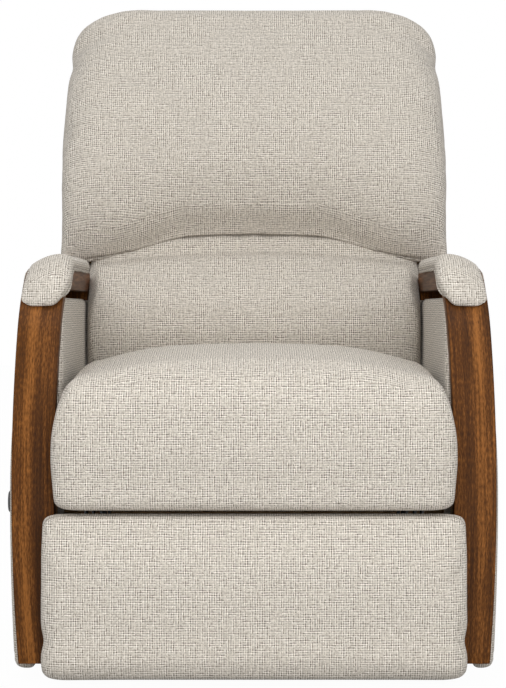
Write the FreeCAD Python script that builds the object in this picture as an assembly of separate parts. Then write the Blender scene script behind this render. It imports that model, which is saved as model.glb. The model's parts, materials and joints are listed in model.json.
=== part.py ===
import FreeCAD, Part
import math
import os

# A swivel gliding recliner with bent wooden arms, closed and upright.
# X runs to the right of someone who faces the chair, the front faces -Y and Z is up.
# The origin is on the floor, on the swivel axis. All sizes are in millimetres.

Vec = FreeCAD.Vector
UP = Vec(0, 0, 1)
ACROSS = Vec(1, 0, 0)

# Clearances
soft_gap = 0.3             # a soft piece stays this far from what it rests on
pin_clearance = 0.05       # radial, between a pin and its hole
head_gap = 0.2             # between a pin head and the plate beside it
overshoot = 1.0            # a hole is cut this far past the faces it goes through

# Soft pieces
edge_slices = 4            # steps in which a cushion's side rounds over

# Swivel base
ring_radius = 255.0        # to the middle of the ring's tube
ring_tube = 12.5           # radius of the ring's tube
glide_lift = 6.0           # the ring stands this high above the floor
glide_radius = 22.0
glide_height = 14.0
glide_count = 8
spoke_width = 36.0
spoke_height = 20.0
hub_radius = 62.0
race_radius = 58.0
race_thickness = 6.0
race_bore = 20.0
race_gap = 2.0             # between the two races
ball_radius = 4.0
ball_track = 44.0          # radius of the ring of balls
ball_count = 20
ball_clearance = 0.2
king_pin_radius = 10.0
king_head_radius = 17.0
king_head_height = 7.0
king_nut_radius = 17.0
king_nut_height = 11.0
king_nut_sides = 6

# Swivel platform and glide
platform_half_length = 150.0
platform_thickness = 4.0
bracket_x = 195.0          # inner face of the upright glide brackets
bracket_thickness = 4.0
bracket_flange = 32.0
bracket_half_length = 130.0
bracket_head_half = 22.0   # half the length of each raised ear of the bracket
bracket_ear = 18.0         # the ear reaches this far above its pivot
bracket_waist = 60.0       # height of the bracket between its ears
platform_bolt_radius = 4.0
platform_bolt_head = 5.0
platform_bolt_y = 90.0
glide_pivot_y = 110.0
glide_pivot_z = 185.0
glide_link_length = 100.0
glide_link_thickness = 4.0
glide_link_width = 26.0
glide_pin_radius = 6.0
glide_head = 1.4
layer_gap = 2.0            # between neighbouring plates that turn on one another
carriage_rail_height = 30.0
carriage_rail_thickness = 4.0
carriage_half_length = 240.0
cross_tube = 22.0          # side of the square cross tubes
cross_tube_wall = 2.5
cross_tube_y = 225.0

# Wooden side frames
frame_board = 30.0
frame_bottom = 40.0
frame_rise = 190.0         # top of the side frames above the seat frame's top
frame_rear = 250.0
frame_stile = 50.0
frame_foot_rail = 62.0
frame_head_rail = 42.0
frame_mid_drop = 87.0      # the middle rails' undersides lie this far below the seat frame's top
frame_mid_height = 80.0
rear_rail_thickness = 22.0
rear_rail_bottom = 120.0
rear_rail_height = 80.0

valance_bottom = 45.0
valance_top = 342.0
valance_thickness = 9.0

# Bent wooden arms
arm_front = -370.0         # front face of the posts
arm_bottom = 30.0
arm_thickness = 31.0
arm_width = 62.0
arm_front_inner_bend = 64.0
arm_rear_inner_bend = 14.0
arm_rear_foot = 1.0        # straight foot of the arm's rear end on the side frame
arm_rear = 185.0
arm_foot_out = 51.0        # outer edge of the post beyond the side frame's inner face, at its foot
arm_waist_out = 57.0       # at its widest
arm_head_out = 44.0        # at the top of the rail
arm_waist_height = 330.0
arm_bolt_radius = 4.0
arm_bolt_heights = (150.0, 440.0)
arm_bolt_depth = 20.0      # how far a bolt goes into the post
arm_bolt_head_radius = 8.0
arm_bolt_head_height = 5.0

# Arm pads
pad_inside = 25.0          # the pad reaches this far in from the side frame's inner face
pad_outside = 49.0         # and this far out
pad_lip_angle = 25.0       # where the pad's front lip ends on the arm's bend, in degrees
pad_rear = 55.0
pad_crown = 27.0
pad_edge = 12.0

# Side panels
inner_panel_thickness = 10.0
inner_panel_rise = 8.0     # the inner panels begin this far above the seat frame's top
panel_crown = 44.0         # the outer panel stands this far out at its middle
panel_foot = 36.0          # the outer panel stands this far out at its foot
panel_head = 12.0          # and this far at its top
panel_corner = 12.0
panel_end_swell = 0.7      # share of the crown that is left at the front and rear edges
panel_bottom = 20.0
panel_margin = 24.0
panel_crown_height = 272.0

# Mechanism plates and their pivots, as places along y and above the line of the fixed pivots
plate_inset = 43.0         # from the side frame in to the inner face of the mechanism plates
fixed_pivot_drop = 77.0    # the fixed pivots lie this far below the seat frame's top
plate_thickness = 4.0
link_thickness = 3.0
link_radius = 13.0
link_pin_radius = 5.0
link_head = 1.5
head_ratio = 1.6           # a pin's head is this much wider than its shank
rear_link_place = (-248.0, 0.0)
knee_place = (-116.0, -119.0)
foot_place = (-365.0, -121.0)
upper_control_place = (-209.5, 0.0)
upper_control_end_place = (-66.2, -98.6)
lower_control_place = (-122.4, -86.3)
lower_control_end_place = (-357.0, -69.0)
torque_place = (-40.0, -45.0)
lower_control_bend = 18.0  # the lower control links are bent down by this much to pass the seat's front
lower_control_bend_share = 0.4   # place of that bend along the link
drive_share = 50.0         # the drive link pulls the rear link this far from its pivot
torque_radius = 10.0
crank_length = 60.0
crank_angle = -54.0
crank_thickness = 3.0
bush_wall = 4.0
bush_length = 8.0
torque_wall = 2.0
crank_radius = 15.0
plate_margin = 21.0        # metal left around the pivots
plate_slope = 42.0         # length over which the plate's edge rises to a pivot
plate_ear_half = 31.5      # half the foot of the ear that carries the back's pivot
plate_top_drop = 10.0      # the plates end this far below the seat frame's top
back_pin_radius = 7.0
cleat_front = -115.0
cleat_rear = 150.0
cleat_drop = 12.0          # the cleats' tops lie this far below the seat frame's top
cleat_height = 60.0

# Lever
lever_length = 132.0
lever_height = 33.0
lever_round = 3.0
lever_thickness = 10.0
lever_stand_off = 2.5      # between the lever and the side panel
lever_hub_radius = 19.0
bezel_radius = 26.0
bezel_bore = 16.0          # outside radius of the bezel's sleeve
bezel_height = 2.0
lever_socket = 7.0         # depth of the lever's socket for the tube

# Seat
seat_rail_width = 28.0
seat_rail_height = 42.0
seat_deck = 372.0          # top of the seat frame
seat_frame_rear = 90.0
seat_front_rail_drop = 97.0
seat_front_rail_thickness = 22.0
spring_wire = 1.9
spring_pitch = 26.0
spring_half_width = 27.0
spring_count = 5
spring_spacing = 82.0
seat_half_width = 279.0
seat_side_gap = 4.0        # between the seat and the inner panels
roll_overhang = 14.0       # the waterfall front is wider than the seat by this much each side
roll_reach = 80.0          # the waterfall front stands this far ahead of the posts
roll_depth = 78.0          # thickness of the waterfall front
roll_drop = 110.0          # the waterfall front hangs this far below the seat frame's top
roll_corner = 26.0
seat_rear = 85.0
seat_crown_rise = 119.0    # heights of the cushion above the seat frame's top: its crown,
seat_rear_rise = 90.0      # its rear edge,
seat_shoulder_rise = 56.0  # the top of its upright front
seat_lip_rise = 102.0      # and the line where its top begins to round over
seat_crown_y = -150.0
seat_round_depth = 70.0    # from the front face back to where the top begins to round over
seat_round_in = 27.0
seat_round_down = 11.0
seat_side_fall = 20.0      # the crown is this much lower at the sides
seat_side_draw = 16.0      # the sides are drawn in by this much
seat_side_round = 36.0     # over this width
post_clearance = 12.0      # between the T front of the seat and the posts

# Footrest
footrest_bottom = 21.0
footrest_gap = 6.0         # between the footrest and the seat's waterfall front
footrest_overhang = 26.0   # the footrest is wider than the seat by this much each side
footrest_depth = 60.0
footrest_bulge = 8.0
footrest_corner = 22.0
footrest_side_draw = 16.0
footrest_side_round = 32.0
footrest_reach = 85.0      # its front stands this far ahead of the posts
footrest_board = 15.0
footrest_board_reach = 12.0  # the board's ends lie this far outside the mechanism plates
footrest_board_margin = 26.0
footrest_bracket_flange = 22.0
footrest_bracket_wall = 3.0
footrest_bracket_drop = 19.5   # the bracket reaches this far below its lower pivot

# Back
back_pivot_y = 155.0
back_pivot_rise = 28.0     # above the seat frame's top
back_lean = 20.0           # degrees from upright
back_post_inset = 6.0      # from the mechanism plates in to the back's posts
back_post_width = 25.0
back_frame_front = -20.0
back_frame_depth = 45.0
back_frame_bottom = -40.0
back_mid_rail = 250.0
back_mid_rail_height = 50.0
back_frame_top = 640.0
back_top_rail_height = 60.0
back_wing_reach = 35.0     # the upper rails end this far outside the mechanism plates
back_bottom_rail_height = 50.0
back_bracket_thickness = 4.0
back_bracket_half_width = 18.0
back_bracket_top = 150.0
webbing_width = 50.0
webbing_thickness = 2.0
webbing_rows = (70.0, 150.0, 345.0, 425.0, 505.0)
lumbar_inset = 15.0        # the lumbar panel is narrower than the seat by this much each side
lumbar_bottom = 45.0
lumbar_front = -94.0
lumbar_foot_front = -71.0
lumbar_top_front = -86.0
lumbar_corner = 16.0
lumbar_draw = 16.0         # the lumbar panel's sides are drawn in by this much
lumbar_side_round = 34.0
pillow_top = 686.0
pillow_front_roll = 40.0   # the front rolls in over this height above the lower edge
pillow_top_roll = 48.0     # and over this height below the top
pillow_back_roll = 24.0    # the back rolls in over this height above the lower edge
pillow_back_top_roll = 36.0
pillow_belly_share = 0.42  # height of the fullest place, as a share of the pillow's height
pillow_side_draw = 46.0    # the pillow's sides are drawn in by this much
pillow_side_fall = 44.0    # the pillow's top corners fall by this much
pillow_side_round = 80.0
pillow_arch = 34.0         # the pillow's lower edge rises this much in its middle
pillow_corner_bottom = 205.0
pillow_front = -152.0
pillow_bottom_front = -120.0
pillow_top_front = -112.0
pillow_overhang = 46.0     # the pillow is wider than the seat by this much each side
pillow_taper = 2.2         # degrees that each side leans in towards the top
lumbar_gap = 3.0           # between the lumbar panel and the pillow above it
outer_back_depth = 52.0
outer_back_waist_inset = 2.0   # from the mechanism plates in to the outer back's narrow part
outer_back_wing_reach = 50.0   # from the plates out to its wide part
outer_back_bottom = -20.0
outer_back_shoulder = 215.0
outer_back_top = 668.0
outer_back_corner = 60.0
outer_back_draw = 22.0     # the panel's edge is drawn in by this much
outer_back_round = 34.0    # over this depth

# Values worked out from the sizes above
frame_inner_x = seat_half_width + seat_side_gap + inner_panel_thickness
frame_top = seat_deck + frame_rise
frame_mid_bottom = seat_deck - frame_mid_drop
inner_panel_bottom = seat_deck + inner_panel_rise
plate_x = frame_inner_x - plate_inset
roll_half_width = seat_half_width + roll_overhang
footrest_half_width = seat_half_width + footrest_overhang
lumbar_half_width = seat_half_width - lumbar_inset
pillow_half_width = seat_half_width + pillow_overhang
footrest_board_half_width = plate_x + footrest_board_reach
back_post_outer = plate_x - back_post_inset
back_wing = plate_x + back_wing_reach
outer_back_waist = plate_x - outer_back_waist_inset
outer_back_wing = plate_x + outer_back_wing_reach
pad_inner_x = frame_inner_x - pad_inside
pad_outer_x = frame_inner_x + pad_outside
roll_bottom = seat_deck - roll_drop
footrest_top = roll_bottom - footrest_gap
cleat_bottom = seat_deck - cleat_drop - cleat_height
back_pivot = (back_pivot_y, seat_deck + back_pivot_rise)
ring_height = glide_lift + ring_tube
hub_bottom = ring_height - spoke_height / 2
hub_top = hub_bottom + spoke_height
lower_race_top = hub_top + race_thickness
upper_race_bottom = lower_race_top + race_gap
platform_bottom = upper_race_bottom + race_thickness
platform_top = platform_bottom + platform_thickness
glide_link_x = bracket_x + bracket_thickness + layer_gap
carriage_x = glide_link_x + glide_link_thickness + layer_gap
glide_low_z = glide_pivot_z - glide_link_length
cross_tube_top = glide_low_z - carriage_rail_height / 2
frame_outer_x = frame_inner_x + frame_board
frame_front = arm_front + arm_thickness
arm_bend = arm_front_inner_bend + arm_thickness
arm_rear_bend = arm_rear_inner_bend + arm_thickness
arm_top = frame_top + arm_rear_foot + arm_rear_bend
inner_panel_x = frame_inner_x - inner_panel_thickness
panel_face_x = frame_outer_x + panel_crown
rear_link_x = plate_x - layer_gap - link_thickness
lower_control_x = rear_link_x - layer_gap - link_thickness
drive_link_x = lower_control_x - layer_gap - link_thickness
crank_x = drive_link_x - layer_gap - crank_thickness
front_link_x = plate_x + plate_thickness + layer_gap
upper_control_x = front_link_x + link_thickness + layer_gap
lever_inner_x = panel_face_x + lever_stand_off
lever_outer_x = lever_inner_x + lever_thickness
roll_front = arm_front - roll_reach
footrest_front = arm_front - footrest_reach
footrest_back = footrest_front + footrest_depth
board_front = footrest_back + soft_gap
board_back = board_front + footrest_board
seat_underside = seat_deck + 2 * spring_wire + 2 * soft_gap
roll_back = roll_front + roll_depth
back_frame_rear = back_frame_front + back_frame_depth
pillow_back = back_frame_front - webbing_thickness - soft_gap


def from_fixed_pivots(place):
    """A place given along y and above the line of the fixed pivots, as (y, z)."""
    return (place[0], seat_deck - fixed_pivot_drop + place[1])


rear_link_pivot = from_fixed_pivots(rear_link_place)
knee_pivot = from_fixed_pivots(knee_place)
foot_pivot = from_fixed_pivots(foot_place)
upper_control_pivot = from_fixed_pivots(upper_control_place)
upper_control_end = from_fixed_pivots(upper_control_end_place)
lower_control_pivot = from_fixed_pivots(lower_control_place)
lower_control_end = from_fixed_pivots(lower_control_end_place)
torque_axis = from_fixed_pivots(torque_place)
crank_end = (
    torque_axis[0] + crank_length * math.cos(math.radians(crank_angle)),
    torque_axis[1] + crank_length * math.sin(math.radians(crank_angle)),
)
rear_link_length = math.dist(rear_link_pivot, knee_pivot)
drive_end = tuple(
    start + (end - start) * drive_share / rear_link_length
    for start, end in zip(rear_link_pivot, knee_pivot)
)


# Shape helpers

def box(x0, x1, y0, y1, z0, z1):
    """A block between two corners."""
    return Part.makeBox(x1 - x0, y1 - y0, z1 - z0, Vec(x0, y0, z0))


def rod_across(place, radius, x0, x1):
    """A round rod along X through a place given as (y, z)."""
    return Part.makeCylinder(radius, x1 - x0, Vec(x0, place[0], place[1]), ACROSS)


def bore_across(place, radius, x0, x1):
    """A round hole along X that runs past both faces."""
    return rod_across(place, radius, x0 - overshoot, x1 + overshoot)


def disc(radius, z0, z1, x=0.0, y=0.0):
    """An upright round disc."""
    return Part.makeCylinder(radius, z1 - z0, Vec(x, y, z0), UP)


def group(shapes):
    """Several separate solids in one piece."""
    return Part.makeCompound(list(shapes))


def mirrored(shape):
    """The same shape on the other side of the chair."""
    return shape.mirror(Vec(0, 0, 0), ACROSS)


def both_sides(shape):
    """A right-hand shape and its left-hand twin."""
    return group([shape, mirrored(shape)])


def line(a, b):
    return Part.LineSegment(a, b).toShape()


def arc(a, middle, b):
    return Part.Arc(a, middle, b).toShape()


def corner(a, b, centre):
    """A round corner from a to b about a centre."""
    radius = (a - centre).Length
    outward = (a - centre) + (b - centre)
    outward.normalize()
    return arc(a, centre + outward * radius, b)


def polygon_across(places, x0, x1):
    """A flat plate with a straight-sided outline in (y, z), between two places on X."""
    corners = [Vec(x0, y, z) for y, z in places]
    face = Part.Face(Part.makePolygon(corners + corners[:1]))
    return face.extrude(Vec(x1 - x0, 0, 0))


def stadium(a, b, radius, x0, x1):
    """A straight bar with round ends about two pivots."""
    length = math.dist(a, b)
    side_y = -(b[1] - a[1]) / length * radius
    side_z = (b[0] - a[0]) / length * radius
    end_y = (b[0] - a[0]) / length * radius
    end_z = (b[1] - a[1]) / length * radius
    a_left = Vec(x0, a[0] + side_y, a[1] + side_z)
    a_right = Vec(x0, a[0] - side_y, a[1] - side_z)
    b_left = Vec(x0, b[0] + side_y, b[1] + side_z)
    b_right = Vec(x0, b[0] - side_y, b[1] - side_z)
    edges = [
        line(a_right, b_right),
        arc(b_right, Vec(x0, b[0] + end_y, b[1] + end_z), b_left),
        line(b_left, a_left),
        arc(a_left, Vec(x0, a[0] - end_y, a[1] - end_z), a_right),
    ]
    return Part.Face(Part.Wire(edges)).extrude(Vec(x1 - x0, 0, 0))


def link(path, pivots, radius, x0, thickness, bore):
    """A link plate along a path of places, with a hole at each pivot."""
    x1 = x0 + thickness
    bars = [stadium(a, b, radius, x0, x1) for a, b in zip(path, path[1:])]
    plate = bars[0]
    for bar in bars[1:]:
        plate = plate.fuse(bar)
    for place in pivots:
        plate = plate.cut(bore_across(place, bore, x0, x1))
    return plate.removeSplitter()


def rivet(place, radius, x0, x1, head):
    """A pin through plates that span x0 to x1, with a head outside each face."""
    low = x0 - head_gap - head
    high = x1 + head_gap + head
    pin = rod_across(place, radius, low, high)
    pin = pin.fuse(rod_across(place, radius * head_ratio, low, low + head))
    return pin.fuse(rod_across(place, radius * head_ratio, high - head, high))


def stud(place, radius, x0, x1):
    """A short plain stub between two places on X."""
    return rod_across(place, radius, x0, x1)


def leaned(shape):
    """Turns the upright back about its pivot to the angle that it rests at."""
    turned = shape.copy()
    turned.translate(Vec(0, back_pivot[0], back_pivot[1]))
    turned.rotate(Vec(0, back_pivot[0], back_pivot[1]), ACROSS, -back_lean)
    return turned


def loft(sections):
    return Part.makeLoft(sections, True, True)


def edge_turns():
    """Angles at which a rounded side is cut into slices, from its flat part to its edge."""
    return [math.pi / 2 * index / edge_slices for index in range(edge_slices + 1)]


def slices_across(half, rounding):
    """Places across a cushion, each with the share by which its side is drawn in there."""
    right = [(half / 3, 0.0), (2 * half / 3, 0.0)]
    right += [(half - rounding * (1 - math.sin(turn)), 1 - math.cos(turn)) for turn in edge_turns()]
    left = [(-x, share) for x, share in reversed(right)]
    return left + [(0.0, 0.0)] + right


# Swivel base

def ring_tube_solid(clearance):
    return Part.makeTorus(ring_radius, ring_tube + clearance, Vec(0, 0, ring_height))


def base_ring():
    return ring_tube_solid(0.0)


def base_spokes():
    """Four spokes and a hub, coped to the ring."""
    half = spoke_width / 2
    spokes = disc(hub_radius, hub_bottom, hub_top)
    spokes = spokes.fuse(box(-ring_radius, ring_radius, -half, half, hub_bottom, hub_top))
    spokes = spokes.fuse(box(-half, half, -ring_radius, ring_radius, hub_bottom, hub_top))
    spokes = spokes.cut(ring_tube_solid(pin_clearance))
    return spokes.cut(disc(king_pin_radius + pin_clearance, 0, hub_top + overshoot)).removeSplitter()


def floor_glides():
    """Pads under the ring, each with a groove that holds it."""
    glides = []
    for index in range(glide_count):
        angle = 2 * math.pi * (index + 0.5) / glide_count
        x = ring_radius * math.cos(angle)
        y = ring_radius * math.sin(angle)
        pad = disc(glide_radius, 0, glide_height, x, y)
        glides.append(pad.cut(ring_tube_solid(pin_clearance)))
    return group(glides)


def ball_groove():
    middle = lower_race_top + race_gap / 2
    return Part.makeTorus(ball_track, ball_radius + ball_clearance, Vec(0, 0, middle))


def race(z0):
    ring = disc(race_radius, z0, z0 + race_thickness)
    ring = ring.cut(disc(race_bore, z0 - overshoot, z0 + race_thickness + overshoot))
    return ring.cut(ball_groove())


def swivel_balls():
    middle = lower_race_top + race_gap / 2
    balls = []
    for index in range(ball_count):
        angle = 2 * math.pi * index / ball_count
        place = Vec(ball_track * math.cos(angle), ball_track * math.sin(angle), middle)
        balls.append(Part.makeSphere(ball_radius, place))
    return group(balls)


def king_pin():
    pin = disc(king_pin_radius, hub_bottom - king_head_height, platform_top + king_nut_height)
    return pin.fuse(disc(king_head_radius, hub_bottom - king_head_height, hub_bottom))


def king_nut():
    corners = []
    bottom = platform_top + head_gap
    for index in range(king_nut_sides + 1):
        angle = 2 * math.pi * index / king_nut_sides
        corners.append(Vec(king_nut_radius * math.cos(angle), king_nut_radius * math.sin(angle), bottom))
    nut = Part.Face(Part.makePolygon(corners)).extrude(UP * (king_nut_height - head_gap))
    top = platform_top + king_nut_height
    return nut.cut(disc(king_pin_radius + pin_clearance, bottom - overshoot, top + overshoot))


# Swivel platform and glide

def platform_bolt_places():
    x = bracket_x - bracket_flange / 2
    return [(sx * x, sy * platform_bolt_y) for sx in (1, -1) for sy in (1, -1)]


def drilled_for_platform_bolts(shape):
    for x, y in platform_bolt_places():
        hole = disc(platform_bolt_radius + pin_clearance, platform_bottom - overshoot, glide_pivot_z, x, y)
        shape = shape.cut(hole)
    return shape


def swivel_platform():
    half = bracket_x + bracket_thickness
    plate = box(-half, half, -platform_half_length, platform_half_length, platform_bottom, platform_top)
    hole = disc(king_pin_radius + pin_clearance, platform_bottom - overshoot, platform_top + overshoot)
    plate = plate.cut(hole)
    return drilled_for_platform_bolts(plate)


def glide_brackets():
    """Bent plates on the platform, with two ears each that carry the glide links."""
    ear_top = glide_pivot_z + bracket_ear
    waist = platform_top + bracket_waist
    outer = glide_pivot_y + bracket_head_half
    inner = glide_pivot_y - bracket_head_half
    outline = [
        (-bracket_half_length, platform_top), (bracket_half_length, platform_top),
        (outer, ear_top), (inner, ear_top), (inner, waist),
        (-inner, waist), (-inner, ear_top), (-outer, ear_top),
    ]
    plate = polygon_across(outline, bracket_x, bracket_x + bracket_thickness)
    for y in (-glide_pivot_y, glide_pivot_y):
        hole = bore_across((y, glide_pivot_z), glide_pin_radius + pin_clearance,
                           bracket_x, bracket_x + bracket_thickness)
        plate = plate.cut(hole)
    flange = box(bracket_x - bracket_flange, bracket_x, -bracket_half_length, bracket_half_length,
                 platform_top, platform_top + bracket_thickness)
    bracket = drilled_for_platform_bolts(plate.fuse(flange)).removeSplitter()
    return both_sides(bracket)


def platform_bolts():
    bolts = []
    flange_top = platform_top + bracket_thickness
    for x, y in platform_bolt_places():
        shank = disc(platform_bolt_radius, platform_bottom, flange_top, x, y)
        head = disc(platform_bolt_radius * head_ratio, flange_top, flange_top + platform_bolt_head, x, y)
        bolts.append(shank.fuse(head))
    return group(bolts)


def glide_links(y):
    pivots = [(y, glide_pivot_z), (y, glide_low_z)]
    return both_sides(link(pivots, pivots, glide_link_width / 2, glide_link_x, glide_link_thickness,
                           glide_pin_radius + pin_clearance))


def glide_pins(z, x0, x1):
    pins = []
    for y in (-glide_pivot_y, glide_pivot_y):
        pin = rivet((y, z), glide_pin_radius, x0, x1, glide_head)
        pins += [pin, mirrored(pin)]
    return group(pins)


def upper_glide_pins():
    return glide_pins(glide_pivot_z, bracket_x, glide_link_x + glide_link_thickness)


def lower_glide_pins():
    return glide_pins(glide_low_z, glide_link_x, carriage_x + carriage_rail_thickness)


def carriage_rails():
    rail = box(carriage_x, carriage_x + carriage_rail_thickness, -carriage_half_length, carriage_half_length,
               cross_tube_top, cross_tube_top + carriage_rail_height)
    for y in (-glide_pivot_y, glide_pivot_y):
        hole = bore_across((y, glide_low_z), glide_pin_radius + pin_clearance,
                           carriage_x, carriage_x + carriage_rail_thickness)
        rail = rail.cut(hole)
    return both_sides(rail)


def cross_tubes():
    tubes = []
    half = cross_tube / 2
    bore = half - cross_tube_wall
    middle = cross_tube_top - half
    for y in (-cross_tube_y, cross_tube_y):
        tube = box(-frame_inner_x, frame_inner_x, y - half, y + half, middle - half, middle + half)
        end = frame_inner_x + overshoot
        inside = box(-end, end, y - bore, y + bore, middle - bore, middle + bore)
        tubes.append(tube.cut(inside))
    return group(tubes)


# Wooden side frames and rear rail

def arm_bolt_axis_x():
    return frame_inner_x + frame_board / 2


def arm_bolt_rods(radius):
    """Straight rods on the axes of the bolts that hold a post to its side frame."""
    start = frame_front - arm_bolt_depth
    length = arm_bolt_depth + frame_stile
    x = arm_bolt_axis_x()
    return [Part.makeCylinder(radius, length, Vec(x, start, z), Vec(0, 1, 0)) for z in arm_bolt_heights]


def clear_of_front_bend(shape):
    """Trims the top front corner that the arm's bend passes through."""
    bend = (arm_front + arm_bend, arm_top - arm_bend)
    x0 = inner_panel_x - overshoot
    x1 = panel_face_x + overshoot
    block = box(x0, x1, frame_front - overshoot, bend[0], bend[1], arm_top)
    kept = rod_across(bend, arm_front_inner_bend - soft_gap, x0, x1)
    return shape.cut(block.cut(kept))


def side_frame():
    x0 = frame_inner_x
    x1 = frame_outer_x
    front_stile = box(x0, x1, frame_front, frame_front + frame_stile, frame_bottom, frame_top)
    for rod in arm_bolt_rods(arm_bolt_radius + pin_clearance):
        front_stile = front_stile.cut(rod)
    front_stile = clear_of_front_bend(front_stile)
    rear_stile = box(x0, x1, frame_rear - frame_stile, frame_rear, frame_bottom, frame_top)
    boards = [front_stile, rear_stile]
    rail_levels = [
        (frame_bottom, frame_foot_rail),
        (frame_mid_bottom, frame_mid_height),
        (frame_top - frame_head_rail, frame_head_rail),
    ]
    rail_front = frame_front + frame_stile
    rail_rear = frame_rear - frame_stile
    for bottom, height in rail_levels:
        boards.append(box(x0, x1, rail_front, rail_rear, bottom, bottom + height))
    return group(boards)


def rear_rail():
    return box(-frame_inner_x, frame_inner_x, frame_rear - rear_rail_thickness, frame_rear,
               rear_rail_bottom, rear_rail_bottom + rear_rail_height)


def rear_valance():
    """A padded panel across the back, below the moving part."""
    edge = frame_outer_x - soft_gap
    panel = box(-edge, edge, frame_rear + soft_gap, frame_rear + soft_gap + valance_thickness,
                valance_bottom, valance_top)
    return panel.makeFillet(valance_thickness / 4, panel.Edges)


def arm_bolts():
    bolts = []
    x = arm_bolt_axis_x()
    for rod, z in zip(arm_bolt_rods(arm_bolt_radius), arm_bolt_heights):
        head = Part.makeCylinder(arm_bolt_head_radius, arm_bolt_head_height,
                                 Vec(x, frame_front + frame_stile, z), Vec(0, 1, 0))
        bolt = rod.fuse(head)
        bolts += [bolt, mirrored(bolt)]
    return group(bolts)


# Bent wooden arms

def arm_side_outline():
    """The arm seen from the side: post, front bend, rail, rear bend and foot."""
    def at(y, z):
        return Vec(0, y, z)

    bend_y = arm_front + arm_bend
    bend_z = arm_top - arm_bend
    rear_y = arm_rear - arm_rear_bend
    rear_z = arm_top - arm_rear_bend
    under = arm_top - arm_thickness
    inner_rear = arm_rear - arm_thickness
    front_centre = at(bend_y, bend_z)
    rear_centre = at(rear_y, rear_z)
    return Part.Wire([
        line(at(arm_front, arm_bottom), at(arm_front, bend_z)),
        corner(at(arm_front, bend_z), at(bend_y, arm_top), front_centre),
        line(at(bend_y, arm_top), at(rear_y, arm_top)),
        corner(at(rear_y, arm_top), at(arm_rear, rear_z), rear_centre),
        line(at(arm_rear, rear_z), at(arm_rear, frame_top)),
        line(at(arm_rear, frame_top), at(inner_rear, frame_top)),
        line(at(inner_rear, frame_top), at(inner_rear, rear_z)),
        corner(at(inner_rear, rear_z), at(rear_y, under), rear_centre),
        line(at(rear_y, under), at(bend_y, under)),
        corner(at(bend_y, under), at(frame_front, bend_z), front_centre),
        line(at(frame_front, bend_z), at(frame_front, arm_bottom)),
        line(at(frame_front, arm_bottom), at(arm_front, arm_bottom)),
    ])


def arm_front_outline():
    """The arm seen from the front, run past its ends: both edges bow outwards."""
    def at(x, z):
        return Vec(x, arm_front - overshoot, z)

    outer = [
        at(frame_inner_x + arm_foot_out, arm_bottom - overshoot),
        at(frame_inner_x + arm_waist_out, arm_waist_height),
        at(frame_inner_x + arm_head_out, arm_top + overshoot),
    ]
    inner = [place - Vec(arm_width, 0, 0) for place in outer]
    return Part.Wire([
        arc(outer[0], outer[1], outer[2]),
        line(outer[2], inner[2]),
        arc(inner[2], inner[1], inner[0]),
        line(inner[0], outer[0]),
    ])


def wooden_arm():
    side_solid = Part.Face(arm_side_outline()).extrude(Vec(frame_outer_x + arm_width, 0, 0))
    length = arm_rear - arm_front + 2 * overshoot
    front_solid = Part.Face(arm_front_outline()).extrude(Vec(0, length, 0))
    arm = side_solid.common(front_solid)
    for rod in arm_bolt_rods(arm_bolt_radius + pin_clearance):
        arm = arm.cut(rod)
    return arm.removeSplitter()


def arm_pad_section(x, thickness):
    """One slice of the padded top, which starts on the front bend and follows the rail."""
    centre_y = arm_front + arm_bend
    centre_z = arm_top - arm_bend
    low = arm_bend + soft_gap
    high = low + thickness

    def polar(radius, degrees):
        angle = math.radians(degrees)
        return Vec(x, centre_y - radius * math.cos(angle), centre_z + radius * math.sin(angle))

    lip_turn = math.degrees(thickness / high)
    half_way = (pad_lip_angle + 90) / 2
    under_lip = polar(low, pad_lip_angle)
    over_lip = polar(high, pad_lip_angle + lip_turn / 2)
    lip_middle = polar(low + thickness / 2, pad_lip_angle - lip_turn / 5)
    under_top = polar(low, 90)
    over_top = polar(high, 90)
    under_rear = Vec(x, pad_rear, centre_z + low)
    over_rear = Vec(x, pad_rear - thickness / 2, centre_z + high)
    rear_middle = Vec(x, pad_rear + thickness / 8, centre_z + low + thickness / 2)
    return Part.Wire([
        arc(under_lip, polar(low, half_way), under_top),
        line(under_top, under_rear),
        arc(under_rear, rear_middle, over_rear),
        line(over_rear, over_top),
        arc(over_top, polar(high, half_way), over_lip),
        arc(over_lip, lip_middle, under_lip),
    ])


def arm_pad():
    middle = (pad_inner_x + pad_outer_x) / 2
    half = (pad_outer_x - pad_inner_x) / 2
    swell = pad_crown - pad_edge
    sections = []
    for index in range(-edge_slices, edge_slices + 1):
        turn = math.pi / 2 * index / edge_slices
        sections.append(arm_pad_section(middle + half * math.sin(turn), pad_edge + swell * math.cos(turn)))
    return loft(sections)


# Side panels

def inner_panel():
    panel = box(inner_panel_x, frame_inner_x - soft_gap, frame_front + soft_gap, frame_rear,
                inner_panel_bottom, frame_top)
    return clear_of_front_bend(panel.makeFillet(inner_panel_thickness / 4, panel.Edges))


def from_crown(crown, end):
    """An arc that leaves the upright crown of a panel and falls away to an end."""
    drop = crown.x - end.x
    rise = end.z - crown.z
    radius = (rise * rise + drop * drop) / (2 * drop)
    middle_x = crown.x - radius + math.sqrt(radius * radius - rise * rise / 4)
    return arc(crown, Vec(middle_x, crown.y, crown.z + rise / 2), end)


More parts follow.
